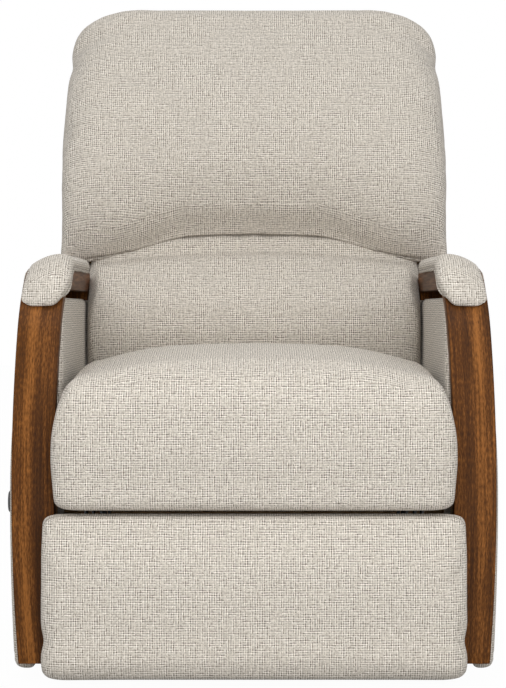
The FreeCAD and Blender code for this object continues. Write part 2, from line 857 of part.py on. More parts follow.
def outer_panel_section(y, swell):
    """One slice of the padded outer side: fullest at hip height, drawn in towards the top."""
    base = frame_outer_x + soft_gap
    foot = base + panel_foot * swell
    size = panel_corner

    def at(x, z):
        return Vec(x, y, z)

    toe = at(foot - size, panel_bottom)
    heel = at(foot, panel_bottom + size)
    crown = at(base + (panel_crown - soft_gap) * swell, panel_crown_height)
    head = at(base + panel_head * swell, frame_top - size)
    return Part.Wire([
        line(at(base, frame_top), at(base, panel_bottom)),
        line(at(base, panel_bottom), toe),
        corner(toe, heel, at(foot - size, panel_bottom + size)),
        from_crown(crown, heel),
        from_crown(crown, head),
        line(head, at(base, frame_top)),
    ])


def outer_panel():
    front = frame_front + soft_gap
    spare = 1 - panel_end_swell
    places = []
    for turn in edge_turns():
        reach = panel_margin * (1 - math.sin(turn))
        swell = 1 - spare * (1 - math.cos(turn))
        places.append((front + reach, swell))
        places.append((frame_rear - reach, swell))
    sections = [outer_panel_section(y, swell) for y, swell in sorted(places)]
    return clear_of_front_bend(loft(sections))


def left_outer_panel():
    hole = rod_across(torque_axis, bezel_bore + soft_gap, -lever_outer_x, -frame_inner_x)
    return mirrored(outer_panel()).cut(hole)


# Mechanism plates, links and pins

def mechanism_plates():
    """A flat plate each side that carries the footrest links, the torque tube and the back."""
    pivot_y, pivot_z = rear_link_pivot
    axis_y, axis_z = torque_axis
    hinge_y, hinge_z = back_pivot
    top = seat_deck - plate_top_drop
    margin = plate_margin
    outline = [
        (pivot_y - margin, pivot_z - margin), (pivot_y - margin, pivot_z + margin),
        (pivot_y + plate_slope, top), (hinge_y - plate_slope, top),
        (hinge_y - plate_ear_half, hinge_z + margin), (hinge_y + margin, hinge_z + margin),
        (hinge_y + plate_ear_half, cleat_bottom), (axis_y + plate_slope, cleat_bottom),
        (axis_y + margin, axis_z - margin), (axis_y - margin, axis_z - margin),
        (upper_control_pivot[0] + margin, pivot_z - margin),
    ]
    x1 = plate_x + plate_thickness
    plate = polygon_across(outline, plate_x, x1)
    holes = [
        (rear_link_pivot, link_pin_radius), (upper_control_pivot, link_pin_radius),
        (back_pivot, back_pin_radius), (torque_axis, torque_radius + bush_wall),
    ]
    for place, radius in holes:
        plate = plate.cut(bore_across(place, radius + pin_clearance, plate_x, x1))
    return both_sides(plate)


def mechanism_cleats():
    return both_sides(box(plate_x + plate_thickness, frame_inner_x, cleat_front, cleat_rear,
                          cleat_bottom, cleat_bottom + cleat_height))


def mechanism_link(path, pivots, x0):
    return link(path, pivots, link_radius, x0, link_thickness, link_pin_radius + pin_clearance)


def rear_links():
    path = [rear_link_pivot, knee_pivot, lower_control_pivot]
    return both_sides(mechanism_link(path, path + [drive_end], rear_link_x))


def front_links():
    pivots = [foot_pivot, knee_pivot, upper_control_end]
    return both_sides(mechanism_link(pivots, pivots, front_link_x))


def upper_control_links():
    pivots = [upper_control_pivot, upper_control_end]
    return both_sides(mechanism_link(pivots, pivots, upper_control_x))


def lower_control_links():
    """Links with a bend that keeps them clear of the seat's front edge when the footrest is out."""
    start, end = lower_control_pivot, lower_control_end
    bend_y = start[0] + (end[0] - start[0]) * lower_control_bend_share
    bend_z = start[1] + (end[1] - start[1]) * lower_control_bend_share - lower_control_bend
    return both_sides(mechanism_link([start, (bend_y, bend_z), end], [start, end], lower_control_x))


def drive_links():
    pivots = [crank_end, drive_end]
    return both_sides(mechanism_link(pivots, pivots, drive_link_x))


def link_rivet(place, x0, x1):
    return rivet(place, link_pin_radius, x0, x1, link_head)


def mechanism_pins():
    """Pins that the mechanism plates hold."""
    rear = link_rivet(rear_link_pivot, rear_link_x, plate_x + plate_thickness)
    control = link_rivet(upper_control_pivot, plate_x, upper_control_x + link_thickness)
    return group([rear, mirrored(rear), control, mirrored(control)])


def rear_link_pins():
    """Knee pins, control link pins and the studs that the drive links pull on."""
    knee = link_rivet(knee_pivot, rear_link_x, front_link_x + link_thickness)
    control = link_rivet(lower_control_pivot, lower_control_x, rear_link_x + link_thickness)
    drive = stud(drive_end, link_pin_radius, drive_link_x + link_thickness + soft_gap,
                 rear_link_x + link_thickness)
    pins = [knee, control, drive]
    return group(pins + [mirrored(pin) for pin in pins])


def front_link_studs():
    return both_sides(stud(upper_control_end, link_pin_radius, front_link_x, upper_control_x - soft_gap))


def footrest_pins():
    """Pins that join the brackets to the front links, and studs for the control links."""
    foot = link_rivet(foot_pivot, plate_x, front_link_x + link_thickness)
    control = stud(lower_control_end, link_pin_radius, lower_control_x + link_thickness + soft_gap,
                   plate_x + footrest_bracket_wall)
    return group([foot, mirrored(foot), control, mirrored(control)])


# Lever and torque tube

def torque_tube():
    left = -(lever_inner_x + lever_socket)
    right = plate_x + plate_thickness + bush_length / 2
    tube = rod_across(torque_axis, torque_radius, left, right)
    return tube.cut(bore_across(torque_axis, torque_radius - torque_wall, left, right))


def torque_bushes():
    spare = (bush_length - plate_thickness) / 2
    x0 = plate_x - spare
    x1 = x0 + bush_length
    bush = rod_across(torque_axis, torque_radius + bush_wall, x0, x1)
    return both_sides(bush.cut(bore_across(torque_axis, torque_radius + pin_clearance, x0, x1)))


def torque_cranks():
    x1 = crank_x + crank_thickness
    crank = stadium(torque_axis, crank_end, crank_radius, crank_x, x1)
    crank = crank.cut(bore_across(torque_axis, torque_radius + pin_clearance, crank_x, x1))
    crank = crank.cut(bore_across(crank_end, link_pin_radius + pin_clearance, crank_x, x1))
    return both_sides(crank)


def crank_pins():
    return both_sides(link_rivet(crank_end, crank_x, drive_link_x + link_thickness))


def lever_handle():
    """A flat paddle that points forwards from its hub on the tube."""
    tip = (torque_axis[0] - lever_length + lever_height / 2, torque_axis[1])
    paddle = stadium(torque_axis, tip, lever_height / 2, -lever_outer_x, -lever_inner_x)
    hub = rod_across(torque_axis, lever_hub_radius, -lever_outer_x, -lever_inner_x)
    handle = paddle.fuse(hub).removeSplitter()
    rim = [edge for edge in handle.Edges if edge.BoundBox.XMax < -lever_outer_x + lever_round / 2]
    handle = handle.makeFillet(lever_round, rim)
    socket = rod_across(torque_axis, torque_radius + pin_clearance,
                        -(lever_inner_x + lever_socket), -lever_inner_x + overshoot)
    return handle.cut(socket)


def lever_bezel():
    """A collar in the side panel that the tube turns in."""
    outer = -(panel_face_x + soft_gap + bezel_height)
    collar = rod_across(torque_axis, bezel_bore, outer, -frame_outer_x)
    flange = rod_across(torque_axis, bezel_radius, outer, outer + bezel_height)
    hole = bore_across(torque_axis, torque_radius + pin_clearance, outer, -frame_outer_x)
    return collar.fuse(flange).cut(hole)


# Seat

def seat_frame():
    inner = plate_x - seat_rail_width
    front = roll_back + soft_gap
    front_rear = front + seat_front_rail_thickness
    bottom = seat_deck - seat_rail_height
    side = box(inner, plate_x, front_rear, seat_frame_rear, bottom, seat_deck)
    front_rail = box(-inner, inner, front, front_rear, seat_deck - seat_front_rail_drop, seat_deck)
    rear_rail_board = box(-inner, inner, seat_frame_rear - seat_front_rail_thickness, seat_frame_rear,
                          bottom, seat_deck)
    return group([side, mirrored(side), front_rail, rear_rail_board])


def seat_spring(x):
    """One zigzag spring that lies on the front and rear rails."""
    z = seat_deck + spring_wire + soft_gap / 3
    start = roll_back + soft_gap + seat_front_rail_thickness / 2
    span = seat_frame_rear - seat_front_rail_thickness / 2 - start
    turns = round(span / spring_pitch)
    pitch = span / turns
    reach = spring_half_width - pitch / 2
    edges = []
    for index in range(turns + 1):
        y = start + pitch * index
        way = 1 if index % 2 == 0 else -1
        run_start = Vec(x - way * reach, y, z)
        run_end = Vec(x + way * reach, y, z)
        edges.append(line(run_start, run_end))
        if index < turns:
            tip = Vec(x + way * spring_half_width, y + pitch / 2, z)
            edges.append(arc(run_end, tip, Vec(x + way * reach, y + pitch, z)))
    circle = Part.Wire([Part.makeCircle(spring_wire, Vec(x - reach, start, z), ACROSS)])
    return Part.Wire(edges).makePipeShell([circle], True, False)


def seat_springs():
    first = -spring_spacing * (spring_count - 1) / 2
    return group(seat_spring(first + spring_spacing * index) for index in range(spring_count))


def seat_section(x, fall, draw):
    """One slice of the seat: crowned top, round front edge and a tall waterfall front."""
    def at(y, z):
        return Vec(x, y, z)

    front = roll_front + draw
    bottom = roll_bottom + draw / 2
    lip = at(front + seat_round_depth, seat_deck + seat_lip_rise - fall)
    rounding = at(front + seat_round_in, seat_deck + seat_lip_rise - seat_round_down - fall)
    shoulder = at(front, seat_deck + seat_shoulder_rise - fall)
    crown = at(seat_crown_y, seat_deck + seat_crown_rise - fall)
    rear_top = at(seat_rear, seat_deck + seat_rear_rise - fall)
    toe = at(front, bottom + roll_corner)
    heel = at(front + roll_corner, bottom)
    rear_low = at(seat_rear, bottom)
    return Part.Wire([
        arc(rear_top, crown, lip),
        arc(lip, rounding, shoulder),
        line(shoulder, toe),
        corner(toe, heel, at(front + roll_corner, bottom + roll_corner)),
        line(heel, rear_low),
        line(rear_low, rear_top),
    ])


def seat_cushion():
    """A T-shaped cushion whose front reaches past the posts and hangs down to the footrest."""
    edge = roll_half_width
    sections = []
    for x, share in slices_across(edge, seat_side_round):
        draw = seat_side_draw * share
        fall = seat_side_fall * (x / edge) ** 2 + draw
        sections.append(seat_section(x, fall, draw))
    cushion = loft(sections)
    deck = box(-2 * edge, 2 * edge, roll_back, 2 * seat_rear, 0, seat_underside)
    cushion = cushion.cut(deck)
    notch = box(seat_half_width, 2 * edge, arm_front - post_clearance, 2 * seat_rear, 0, arm_top)
    return cushion.cut(notch).cut(mirrored(notch))


# Footrest

def footrest_section(x, fall, draw):
    """One slice of the footrest pad: flat back, swelling front and round edges."""
    def at(y, z):
        return Vec(x, y, z)

    face = footrest_front + footrest_bulge + draw
    top = footrest_top - fall
    bottom = footrest_bottom + fall
    size = footrest_corner
    return Part.Wire([
        line(at(footrest_back, bottom), at(footrest_back, top)),
        line(at(footrest_back, top), at(face + size, top)),
        corner(at(face + size, top), at(face, top - size), at(face + size, top - size)),
        arc(at(face, top - size), at(face - footrest_bulge, (top + bottom) / 2), at(face, bottom + size)),
        corner(at(face, bottom + size), at(face + size, bottom), at(face + size, bottom + size)),
        line(at(face + size, bottom), at(footrest_back, bottom)),
    ])


def footrest_pad():
    sections = []
    for x, share in slices_across(footrest_half_width, footrest_side_round):
        draw = footrest_side_draw * share
        sections.append(footrest_section(x, draw / 2, draw))
    return loft(sections)


def footrest_panel():
    half = footrest_board_half_width
    return box(-half, half, board_front, board_back, footrest_bottom + footrest_board_margin,
               footrest_top - footrest_board_margin)


def footrest_brackets():
    """Angle brackets behind the footrest board, with the pivots of both links."""
    low = foot_pivot[1] - footrest_bracket_drop
    high = lower_control_end[1] + link_radius
    web_rear = lower_control_end[0] + link_radius
    x0 = plate_x - footrest_bracket_flange
    x1 = plate_x + footrest_bracket_wall
    flange = box(x0, x1, board_back, board_back + footrest_bracket_wall, low, high)
    bracket = flange.fuse(box(plate_x, x1, board_back, web_rear, low, high)).removeSplitter()
    for place in (foot_pivot, lower_control_end):
        bracket = bracket.cut(bore_across(place, link_pin_radius + pin_clearance, plate_x, x1))
    return both_sides(bracket)


# Back, modelled upright about its pivot and then leaned

def back_frame():
    inner = back_post_outer - back_post_width
    front = back_frame_front
    rear = back_frame_rear
    upper = back_mid_rail + back_mid_rail_height
    top_rail = back_frame_top - back_top_rail_height
    lower_post = box(inner, back_post_outer, front, rear, back_frame_bottom, back_mid_rail)
    upper_post = box(inner, back_post_outer, front, rear, upper, top_rail)
    boards = [lower_post, mirrored(lower_post), upper_post, mirrored(upper_post)]
    boards.append(box(-back_wing, back_wing, front, rear, back_mid_rail, upper))
    boards.append(box(-back_wing, back_wing, front, rear, top_rail, back_frame_top))
    boards.append(box(-inner, inner, front, rear, 0, back_bottom_rail_height))
    return leaned(group(boards))


def back_brackets():
    x1 = back_post_outer + back_bracket_thickness
    plate = stadium((0.0, 0.0), (0.0, back_bracket_top), back_bracket_half_width, back_post_outer, x1)
    plate = plate.cut(bore_across((0.0, 0.0), back_pin_radius + pin_clearance, back_post_outer, x1))
    return leaned(both_sides(plate))


def back_pins():
    """Pins through the mechanism plates that the back turns on."""
    x0 = back_post_outer + head_gap
    x1 = plate_x + plate_thickness + head_gap + link_head
    pin = rod_across(back_pivot, back_pin_radius, x0, x1)
    head = rod_across(back_pivot, back_pin_radius * head_ratio, x1 - link_head, x1)
    return both_sides(pin.fuse(head))


def back_webbing():
    front = back_frame_front - webbing_thickness
    half = webbing_width / 2
    straps = [box(-back_post_outer, back_post_outer, front, back_frame_front, row - half, row + half)
              for row in webbing_rows]
    return leaned(group(straps))


def pillow_bottom(x):
    """Height of the pillow's lower edge above the pivot, which arches over the lumbar panel."""
    return pillow_corner_bottom + pillow_arch * (1 - (x / pillow_half_width) ** 2)


def lumbar_section(x, draw):
    def at(y, z):
        return Vec(x, y, z)

    top = pillow_bottom(x) - lumbar_gap
    low = lumbar_bottom + lumbar_corner
    foot = lumbar_foot_front + draw
    return Part.Wire([
        line(at(pillow_back, lumbar_bottom), at(pillow_back, top)),
        line(at(pillow_back, top), at(lumbar_top_front + draw, top)),
        arc(at(lumbar_top_front + draw, top), at(lumbar_front + draw, (top + low) / 2), at(foot, low)),
        corner(at(foot, low), at(foot + lumbar_corner, lumbar_bottom), at(foot + lumbar_corner, low)),
        line(at(foot + lumbar_corner, lumbar_bottom), at(pillow_back, lumbar_bottom)),
    ])


def lumbar_panel():
    slices = slices_across(lumbar_half_width, lumbar_side_round)
    return leaned(loft([lumbar_section(x, lumbar_draw * share) for x, share in slices]))


def pillow_section(x, fall, draw):
    """One slice of the pillow: full front, round top and a rolled lower edge."""
    low = pillow_bottom(x) + fall / 4
    high = pillow_top - fall

    def at(y, z):
        return Vec(x, y, z)

    back_low = at(pillow_back, low + pillow_back_roll)
    back_high = at(pillow_back, high - pillow_back_top_roll)
    front_high = at(pillow_top_front + draw, high - pillow_top_roll)
    front_low = at(pillow_bottom_front + draw, low + pillow_front_roll)
    top = at((pillow_back + pillow_top_front + draw) / 2, high)
    bottom = at((pillow_back + pillow_bottom_front + draw) / 2, low)
    belly = at(pillow_front + draw, low + (high - low) * pillow_belly_share)
    wire = Part.Wire([
        line(back_low, back_high),
        arc(back_high, top, front_high),
        arc(front_high, belly, front_low),
        arc(front_low, bottom, back_low),
    ])
    wire.rotate(Vec(x, 0, pillow_corner_bottom), Vec(0, 1, 0), -pillow_taper * x / pillow_half_width)
    return wire


def pillow():
    slices = slices_across(pillow_half_width, pillow_side_round)
    sections = [pillow_section(x, pillow_side_fall * share, pillow_side_draw * share) for x, share in slices]
    return leaned(loft(sections))


def outer_back_section(y, inset):
    """The outer back's outline: narrow between the arms, wider above them, round at the top."""
    waist = outer_back_waist - inset
    wing = outer_back_wing - inset
    bottom = outer_back_bottom + inset
    top = outer_back_top - inset
    size = outer_back_corner

    def at(x, z):
        return Vec(x, y, z)

    right = [
        at(waist, bottom),
        at(waist, outer_back_shoulder - size / 2),
        at(wing, outer_back_shoulder + size / 2),
        at(wing, top - size),
        at(wing - size, top),
    ]
    left = [Vec(-place.x, place.y, place.z) for place in right]
    return Part.Wire([
        line(right[0], right[1]),
        line(right[1], right[2]),
        line(right[2], right[3]),
        corner(right[3], right[4], at(wing - size, top - size)),
        line(right[4], left[4]),
        corner(left[4], left[3], at(size - wing, top - size)),
        line(left[3], left[2]),
        line(left[2], left[1]),
        line(left[1], left[0]),
        line(left[0], right[0]),
    ])


def outer_back():
    """A padded shell that closes the back from behind and wraps the frame's upper edges."""
    rim = pillow_back + soft_gap
    behind = back_frame_rear + soft_gap
    places = [(rim, 0.0)]
    for turn in edge_turns():
        reach = outer_back_round * (1 - math.sin(turn))
        places.append((behind + outer_back_depth - reach, outer_back_draw * (1 - math.cos(turn))))
    shell = loft([outer_back_section(y, inset) for y, inset in places])
    hollow = box(-back_wing - soft_gap, back_wing + soft_gap, rim - overshoot, behind,
                 2 * back_frame_bottom, back_frame_top + soft_gap)
    return leaned(shell.cut(hollow))


# Every piece by its name

pieces = {
    "base_ring": base_ring(),
    "base_spokes": base_spokes(),
    "floor_glides": floor_glides(),
    "lower_race": race(hub_top),
    "upper_race": race(upper_race_bottom),
    "swivel_balls": swivel_balls(),
    "king_pin": king_pin(),
    "king_nut": king_nut(),
    "swivel_platform": swivel_platform(),
    "glide_brackets": glide_brackets(),
    "platform_bolts": platform_bolts(),
    "upper_glide_pins": upper_glide_pins(),
    "front_glide_links": glide_links(-glide_pivot_y),
    "rear_glide_links": glide_links(glide_pivot_y),
    "lower_glide_pins": lower_glide_pins(),
    "carriage_rails": carriage_rails(),
    "cross_tubes": cross_tubes(),
    "right_side_frame": side_frame(),
    "left_side_frame": mirrored(side_frame()),
    "rear_rail": rear_rail(),
    "rear_valance": rear_valance(),
    "right_arm": wooden_arm(),
    "left_arm": mirrored(wooden_arm()),
    "arm_bolts": arm_bolts(),
    "right_arm_pad": arm_pad(),
    "left_arm_pad": mirrored(arm_pad()),
    "right_inner_panel": inner_panel(),
    "left_inner_panel": mirrored(inner_panel()),
    "right_outer_panel": outer_panel(),
    "left_outer_panel": left_outer_panel(),
    "mechanism_plates": mechanism_plates(),
    "mechanism_cleats": mechanism_cleats(),
    "mechanism_pins": mechanism_pins(),
    "back_pins": back_pins(),
    "rear_links": rear_links(),
    "rear_link_pins": rear_link_pins(),
    "front_links": front_links(),
    "front_link_studs": front_link_studs(),
    "upper_control_links": upper_control_links(),
    "lower_control_links": lower_control_links(),
    "drive_links": drive_links(),
    "torque_tube": torque_tube(),
    "torque_bushes": torque_bushes(),
    "torque_cranks": torque_cranks(),
    "crank_pins": crank_pins(),
    "lever_handle": lever_handle(),
    "lever_bezel": lever_bezel(),
    "seat_frame": seat_frame(),
    "seat_springs": seat_springs(),
    "seat_cushion": seat_cushion(),
    "footrest_pad": footrest_pad(),
    "footrest_panel": footrest_panel(),
    "footrest_brackets": footrest_brackets(),
    "footrest_pins": footrest_pins(),
    "back_frame": back_frame(),
    "back_brackets": back_brackets(),
    "back_webbing": back_webbing(),
    "lumbar_panel": lumbar_panel(),
    "back_pillow": pillow(),
    "outer_back": outer_back(),
}

os.makedirs("parts", exist_ok=True)
for name, shape in pieces.items():
    shape.exportStep(os.path.join("parts", name + ".step"))
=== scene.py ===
import json
import math

import bpy
import numpy as np
from bpy.props import FloatProperty, FloatVectorProperty, IntProperty, PointerProperty
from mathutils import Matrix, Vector
from mathutils.bvhtree import BVHTree


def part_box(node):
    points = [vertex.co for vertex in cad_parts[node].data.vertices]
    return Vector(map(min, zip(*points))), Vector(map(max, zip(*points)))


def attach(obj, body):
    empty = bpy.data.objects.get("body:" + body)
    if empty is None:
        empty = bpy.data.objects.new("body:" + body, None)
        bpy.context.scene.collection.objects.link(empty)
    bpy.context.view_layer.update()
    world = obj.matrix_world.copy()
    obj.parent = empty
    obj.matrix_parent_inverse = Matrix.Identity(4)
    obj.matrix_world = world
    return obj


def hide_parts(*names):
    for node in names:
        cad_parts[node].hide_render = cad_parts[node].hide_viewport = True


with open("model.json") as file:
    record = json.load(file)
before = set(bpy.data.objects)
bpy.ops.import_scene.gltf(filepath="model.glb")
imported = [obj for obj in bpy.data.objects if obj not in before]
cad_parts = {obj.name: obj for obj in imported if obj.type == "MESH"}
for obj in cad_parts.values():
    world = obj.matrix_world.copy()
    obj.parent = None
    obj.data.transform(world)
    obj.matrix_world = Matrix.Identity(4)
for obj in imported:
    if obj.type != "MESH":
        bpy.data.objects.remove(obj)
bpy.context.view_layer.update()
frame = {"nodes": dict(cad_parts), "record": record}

bl_info = {
    "name": "Swivel gliding recliner",
    "version": (1, 0, 0),
    "blender": (4, 5, 0),
    "location": "View3D > Sidebar > Recliner",
    "description": "Upholstery, wooden arms, finishes and studio for a swivel gliding recliner",
    "category": "Add Mesh",
}

# The back leans on its pivots, and its pieces are described square to that lean
BACK_LEAN = math.radians(20.0)
BACK_PIVOT = np.array((0.0, 0.155, 0.400))
BACK_WIDE = np.array((1.0, 0.0, 0.0))
BACK_DEEP = np.array((0.0, math.cos(BACK_LEAN), -math.sin(BACK_LEAN)))
BACK_TALL = np.array((0.0, math.sin(BACK_LEAN), math.cos(BACK_LEAN)))
BACK_AXES = np.stack((BACK_WIDE, BACK_DEEP, BACK_TALL), axis=1)
UPRIGHT_AXES = np.eye(3)


def size(name, default, description):
    """A length that the user may change"""
    return FloatProperty(name=name, default=default, description=description, unit="LENGTH", precision=4)


def number(name, default, description):
    """A plain number that the user may change"""
    return FloatProperty(name=name, default=default, description=description)


def colour(name, default, description):
    """A colour that the user may change"""
    return FloatVectorProperty(name=name, default=default, description=description, subtype="COLOR",
                               min=0.0, max=1.0)


class ReclinerPadding(bpy.types.PropertyGroup):
    """How the padded pieces swell and how they are sewn"""
    voxel: size("Voxel", 0.0066, "Mesh step of the large cushions before they swell")
    fine_voxel: size("Fine voxel", 0.0046, "Mesh step of the arm pads and the thin panels")
    fill: number("Fill", 0.3, "Share of a swell that the cover starts with")
    clearance: size("Clearance", 0.0015, "Room that is kept to the neighbouring pieces")
    pressure: number("Pressure", 4.0, "Filling pressure of the simulation")
    slack: number("Slack", 0.025, "Share by which the covers are cut larger")
    bulge: number("Bulge", 0.6, "Share of a swell that the simulation may add")
    pull: number("Pull", 0.25, "Share of a swell that the simulation may take away")
    frames: IntProperty(name="Frames", default=20, description="Frames that the simulation runs for")
    pillow_swell: size("Pillow swell", 0.012, "Furthest that the pillow's cover may move")
    lumbar_swell: size("Lumbar swell", 0.014, "Furthest that the lumbar panel's cover may move")
    seat_swell: size("Seat swell", 0.010, "Furthest that the seat's cover may move")
    footrest_swell: size("Footrest swell", 0.008, "Furthest that the footrest's cover may move")
    arm_pad_swell: size("Arm pad swell", 0.003, "Furthest that the arm pads' covers may move")
    panel_swell: size("Panel swell", 0.002, "How far the thin panels stand proud in the middle")
    seam_depth: size("Seam depth", 0.0022, "Depth of a sewn line")
    seam_width: size("Seam width", 0.0035, "Width of a sewn line")
    thinned: number("Thinned", 0.40, "Share of their faces that the large outer panels keep")


class ReclinerArms(bpy.types.PropertyGroup):
    """Sizes of the bent wooden arms"""
    width: size("Width", 0.062, "Width of the bent board")
    thickness: size("Thickness", 0.031, "Thickness of the bent board")
    foot: size("Foot", 0.030, "Height of the post's lower end")
    front: size("Front", -0.370, "Front face of the post")
    front_radius: size("Front radius", 0.095, "Outer radius of the bend from post to rail")
    top: size("Top", 0.608, "Top of the arm rail")
    rear: size("Rear", 0.185, "Rear face of the short rear leg")
    rear_radius: size("Rear radius", 0.045, "Outer radius of the bend from rail to rear leg")
    rear_foot: size("Rear foot", 0.562, "Lower end of the rear leg")
    outer_foot: size("Outer foot", 0.344, "Outer edge at the foot")
    outer_middle: size("Outer middle", 0.3525, "Outer edge where the post bows out most")
    middle: size("Middle", 0.380, "Height where the post bows out most")
    outer_top: size("Outer top", 0.337, "Outer edge along the rail")
    edge: size("Edge", 0.0045, "Rounding of the long edges")


class ReclinerFinishes(bpy.types.PropertyGroup):
    """Colours and scales of the finishes"""
    linen_light: colour("Linen light", (1.0, 0.94, 0.86), "Palest yarn")
    linen_mid: colour("Linen middle", (0.645, 0.590, 0.513), "Most of the yarn")
    linen_dark: colour("Linen dark", (0.11, 0.09, 0.068), "Darkest flecks")
    thread: size("Thread pitch", 0.0017, "Distance between two threads of the weave")
    walnut_light: colour("Walnut light", (0.30, 0.113, 0.026), "Amber streaks of the arms")
    walnut_mid: colour("Walnut middle", (0.106, 0.0375, 0.0085), "Most of the arms")
    walnut_dark: colour("Walnut dark", (0.048, 0.018, 0.006), "Dark grain of the arms")
    timber_light: colour("Timber light", (0.62, 0.43, 0.24), "Early wood of the frame")
    timber_dark: colour("Timber dark", (0.38, 0.22, 0.10), "Late wood of the frame")
    steel_paint: colour("Steel paint", (0.022, 0.022, 0.025), "Black paint of the mechanism")
    plating: colour("Plating", (0.58, 0.58, 0.60), "Zinc plating of pins and springs")
    plastic: colour("Plastic", (0.035, 0.035, 0.038), "Lever handle, bushes and floor glides")
    strap: colour("Strap", (0.10, 0.095, 0.09), "Elastic straps of the back")
    strap_thread: size("Strap thread pitch", 0.0016, "Distance between two threads of the straps")


class ReclinerStudio(bpy.types.PropertyGroup):
    """Camera and light"""
    camera_place: FloatVectorProperty(name="Camera place", default=(0.0, -3.870, 0.546), unit="LENGTH",
                                      subtype="TRANSLATION", description="Where the camera stands")
    lens: number("Lens", 125.6, "Focal length in millimetres")
    shift_across: number("Shift across", -0.0015, "Sideways shift of the frame")
    shift_up: number("Shift up", -0.0494, "Upward shift of the frame")
    key_power: number("Key power", 60.0, "Power of the key light in watts")
    fill_power: number("Fill power", 48.0, "Power of the fill light in watts")
    ambient: number("Ambient", 0.85, "Strength of the light from all round")


# Helpers for meshes

def only(piece):
    """Makes the piece the one selected and active object"""
    bpy.ops.object.select_all(action="DESELECT")
    piece.select_set(True)
    bpy.context.view_layer.objects.active = piece


def positions(piece):
    """The piece's points, one row each"""
    points = np.zeros(len(piece.data.vertices) * 3)
    piece.data.vertices.foreach_get("co", points)
    return points.reshape(-1, 3)


def set_positions(piece, points):
    """Moves the piece's points"""
    piece.data.vertices.foreach_set("co", np.ascontiguousarray(points).ravel())
    piece.data.update()


def outward(piece):
    """The direction that each point of the piece looks to"""
    normals = np.zeros(len(piece.data.vertices) * 3)
    piece.data.vertices.foreach_get("normal", normals)
    return normals.reshape(-1, 3)


def smooth_step(values, start, end):
    """0 before start, 1 after end, with a smooth rise between"""
    share = np.clip((values - start) / (end - start), 0.0, 1.0)
    return share * share * (3.0 - 2.0 * share)


def apply_modifier(piece, kind, **settings):
    """Adds a modifier with these settings and applies it"""
    only(piece)
    modifier = piece.modifiers.new(kind.title(), kind)
    for name, value in settings.items():
        setattr(modifier, name, value)
    bpy.ops.object.modifier_apply(modifier=modifier.name)


def subdivide(piece):
    """One smooth subdivision"""
    apply_modifier(piece, "SUBSURF", levels=1, render_levels=1)


def node_copy(node, name):
    """A new object with a merged copy of a CAD node's mesh"""
    mesh = frame["nodes"][node].data.copy()
    mesh.name = name
    mesh.materials.clear()
    piece = bpy.data.objects.new(name, mesh)
    bpy.context.scene.collection.objects.link(piece)
    only(piece)
    bpy.ops.object.mode_set(mode="EDIT")
    bpy.ops.mesh.select_all(action="SELECT")
    bpy.ops.mesh.remove_doubles(threshold=1e-5)
    bpy.ops.object.mode_set(mode="OBJECT")
    return piece


def soft_start(node, voxel, rounds):
    """An even, rounded mesh of a CAD node's shape"""
    piece = node_copy(node, node + "_cover")
    apply_modifier(piece, "REMESH", mode="VOXEL", voxel_size=voxel, adaptivity=0.0)
    apply_modifier(piece, "SMOOTH", factor=0.5, iterations=rounds)
    return piece


def room_round(node, points, furthest):
    """Distance from each point to the nearest other CAD node, or furthest"""
    corners = []
    faces = []
    for name, other in frame["nodes"].items():
        if name == node:
            continue
        first = len(corners)
        corners.extend(vertex.co for vertex in other.data.vertices)
        faces.extend([first + index for index in face.vertices] for face in other.data.polygons)
    tree = BVHTree.FromPolygons(corners, faces)
    room = np.full(len(points), furthest)
    for index, point in enumerate(points):
        distance = tree.find_nearest(Vector(point), furthest)[3]
        if distance is not None:
            room[index] = distance
    return room


def sew(piece, offset, depth, width, share=1.0):
    """Presses a sewn line into the piece where the offset is nil, and marks it for the linen's painted shade
    along the seam
    """
    line = np.exp(-(offset / width) ** 2) * share
    set_positions(piece, positions(piece) - outward(piece) * (depth * line)[:, None])
    marks = piece.data.attributes.get("seam") or piece.data.attributes.new("seam", "FLOAT", "POINT")
    before = np.zeros(len(line))
    marks.data.foreach_get("value", before)
    marks.data.foreach_set("value", np.maximum(before, line))


def lay_cloth(piece, axes):
    """Lays the weave over the piece in metres, each face along the side that it looks to"""
    mesh = piece.data
    corner_point = np.zeros(len(mesh.loops), dtype=int)
    mesh.loops.foreach_get("vertex_index", corner_point)
    face_corners = np.zeros(len(mesh.polygons), dtype=int)
    mesh.polygons.foreach_get("loop_total", face_corners)
    face_normals = np.zeros(len(mesh.polygons) * 3)
    mesh.polygons.foreach_get("normal", face_normals)
    side = np.abs(face_normals.reshape(-1, 3) @ axes).argmax(axis=1)
    side = np.repeat(side, face_corners)
    points = (positions(piece) @ axes)[corner_point]
    across = np.where(side == 0, points[:, 1], points[:, 0])
    along = np.where(side == 2, points[:, 1], points[:, 2])
    cloth = mesh.uv_layers.new(name="cloth")
    cloth.data.foreach_set("uv", np.stack((across, along), axis=1).ravel())


def finish_soft(piece, node, body, axes, slot="linen"):
    """Shades a soft piece smooth, lays its cloth, gives it its finish, hangs it on its body and hides the
    CAD node that it stands for
    """
    lay_cloth(piece, axes)
    only(piece)
    bpy.ops.object.shade_smooth()
    piece.data.materials.append(finish_of(slot))
    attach(piece, body)
    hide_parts(node)


# Helpers for materials

def feed(tree, value, socket):
    """Links a socket, or sets a constant"""
    if isinstance(value, bpy.types.NodeSocket):
        tree.links.new(value, socket)
    elif value is not None:
        socket.default_value = value


def calculate(tree, operation, first, second=None, third=None):
    """A Math node's result"""
    made = tree.nodes.new("ShaderNodeMath")
    made.operation = operation
    for value, socket in zip((first, second, third), made.inputs):
        feed(tree, value, socket)
    return made.outputs[0]


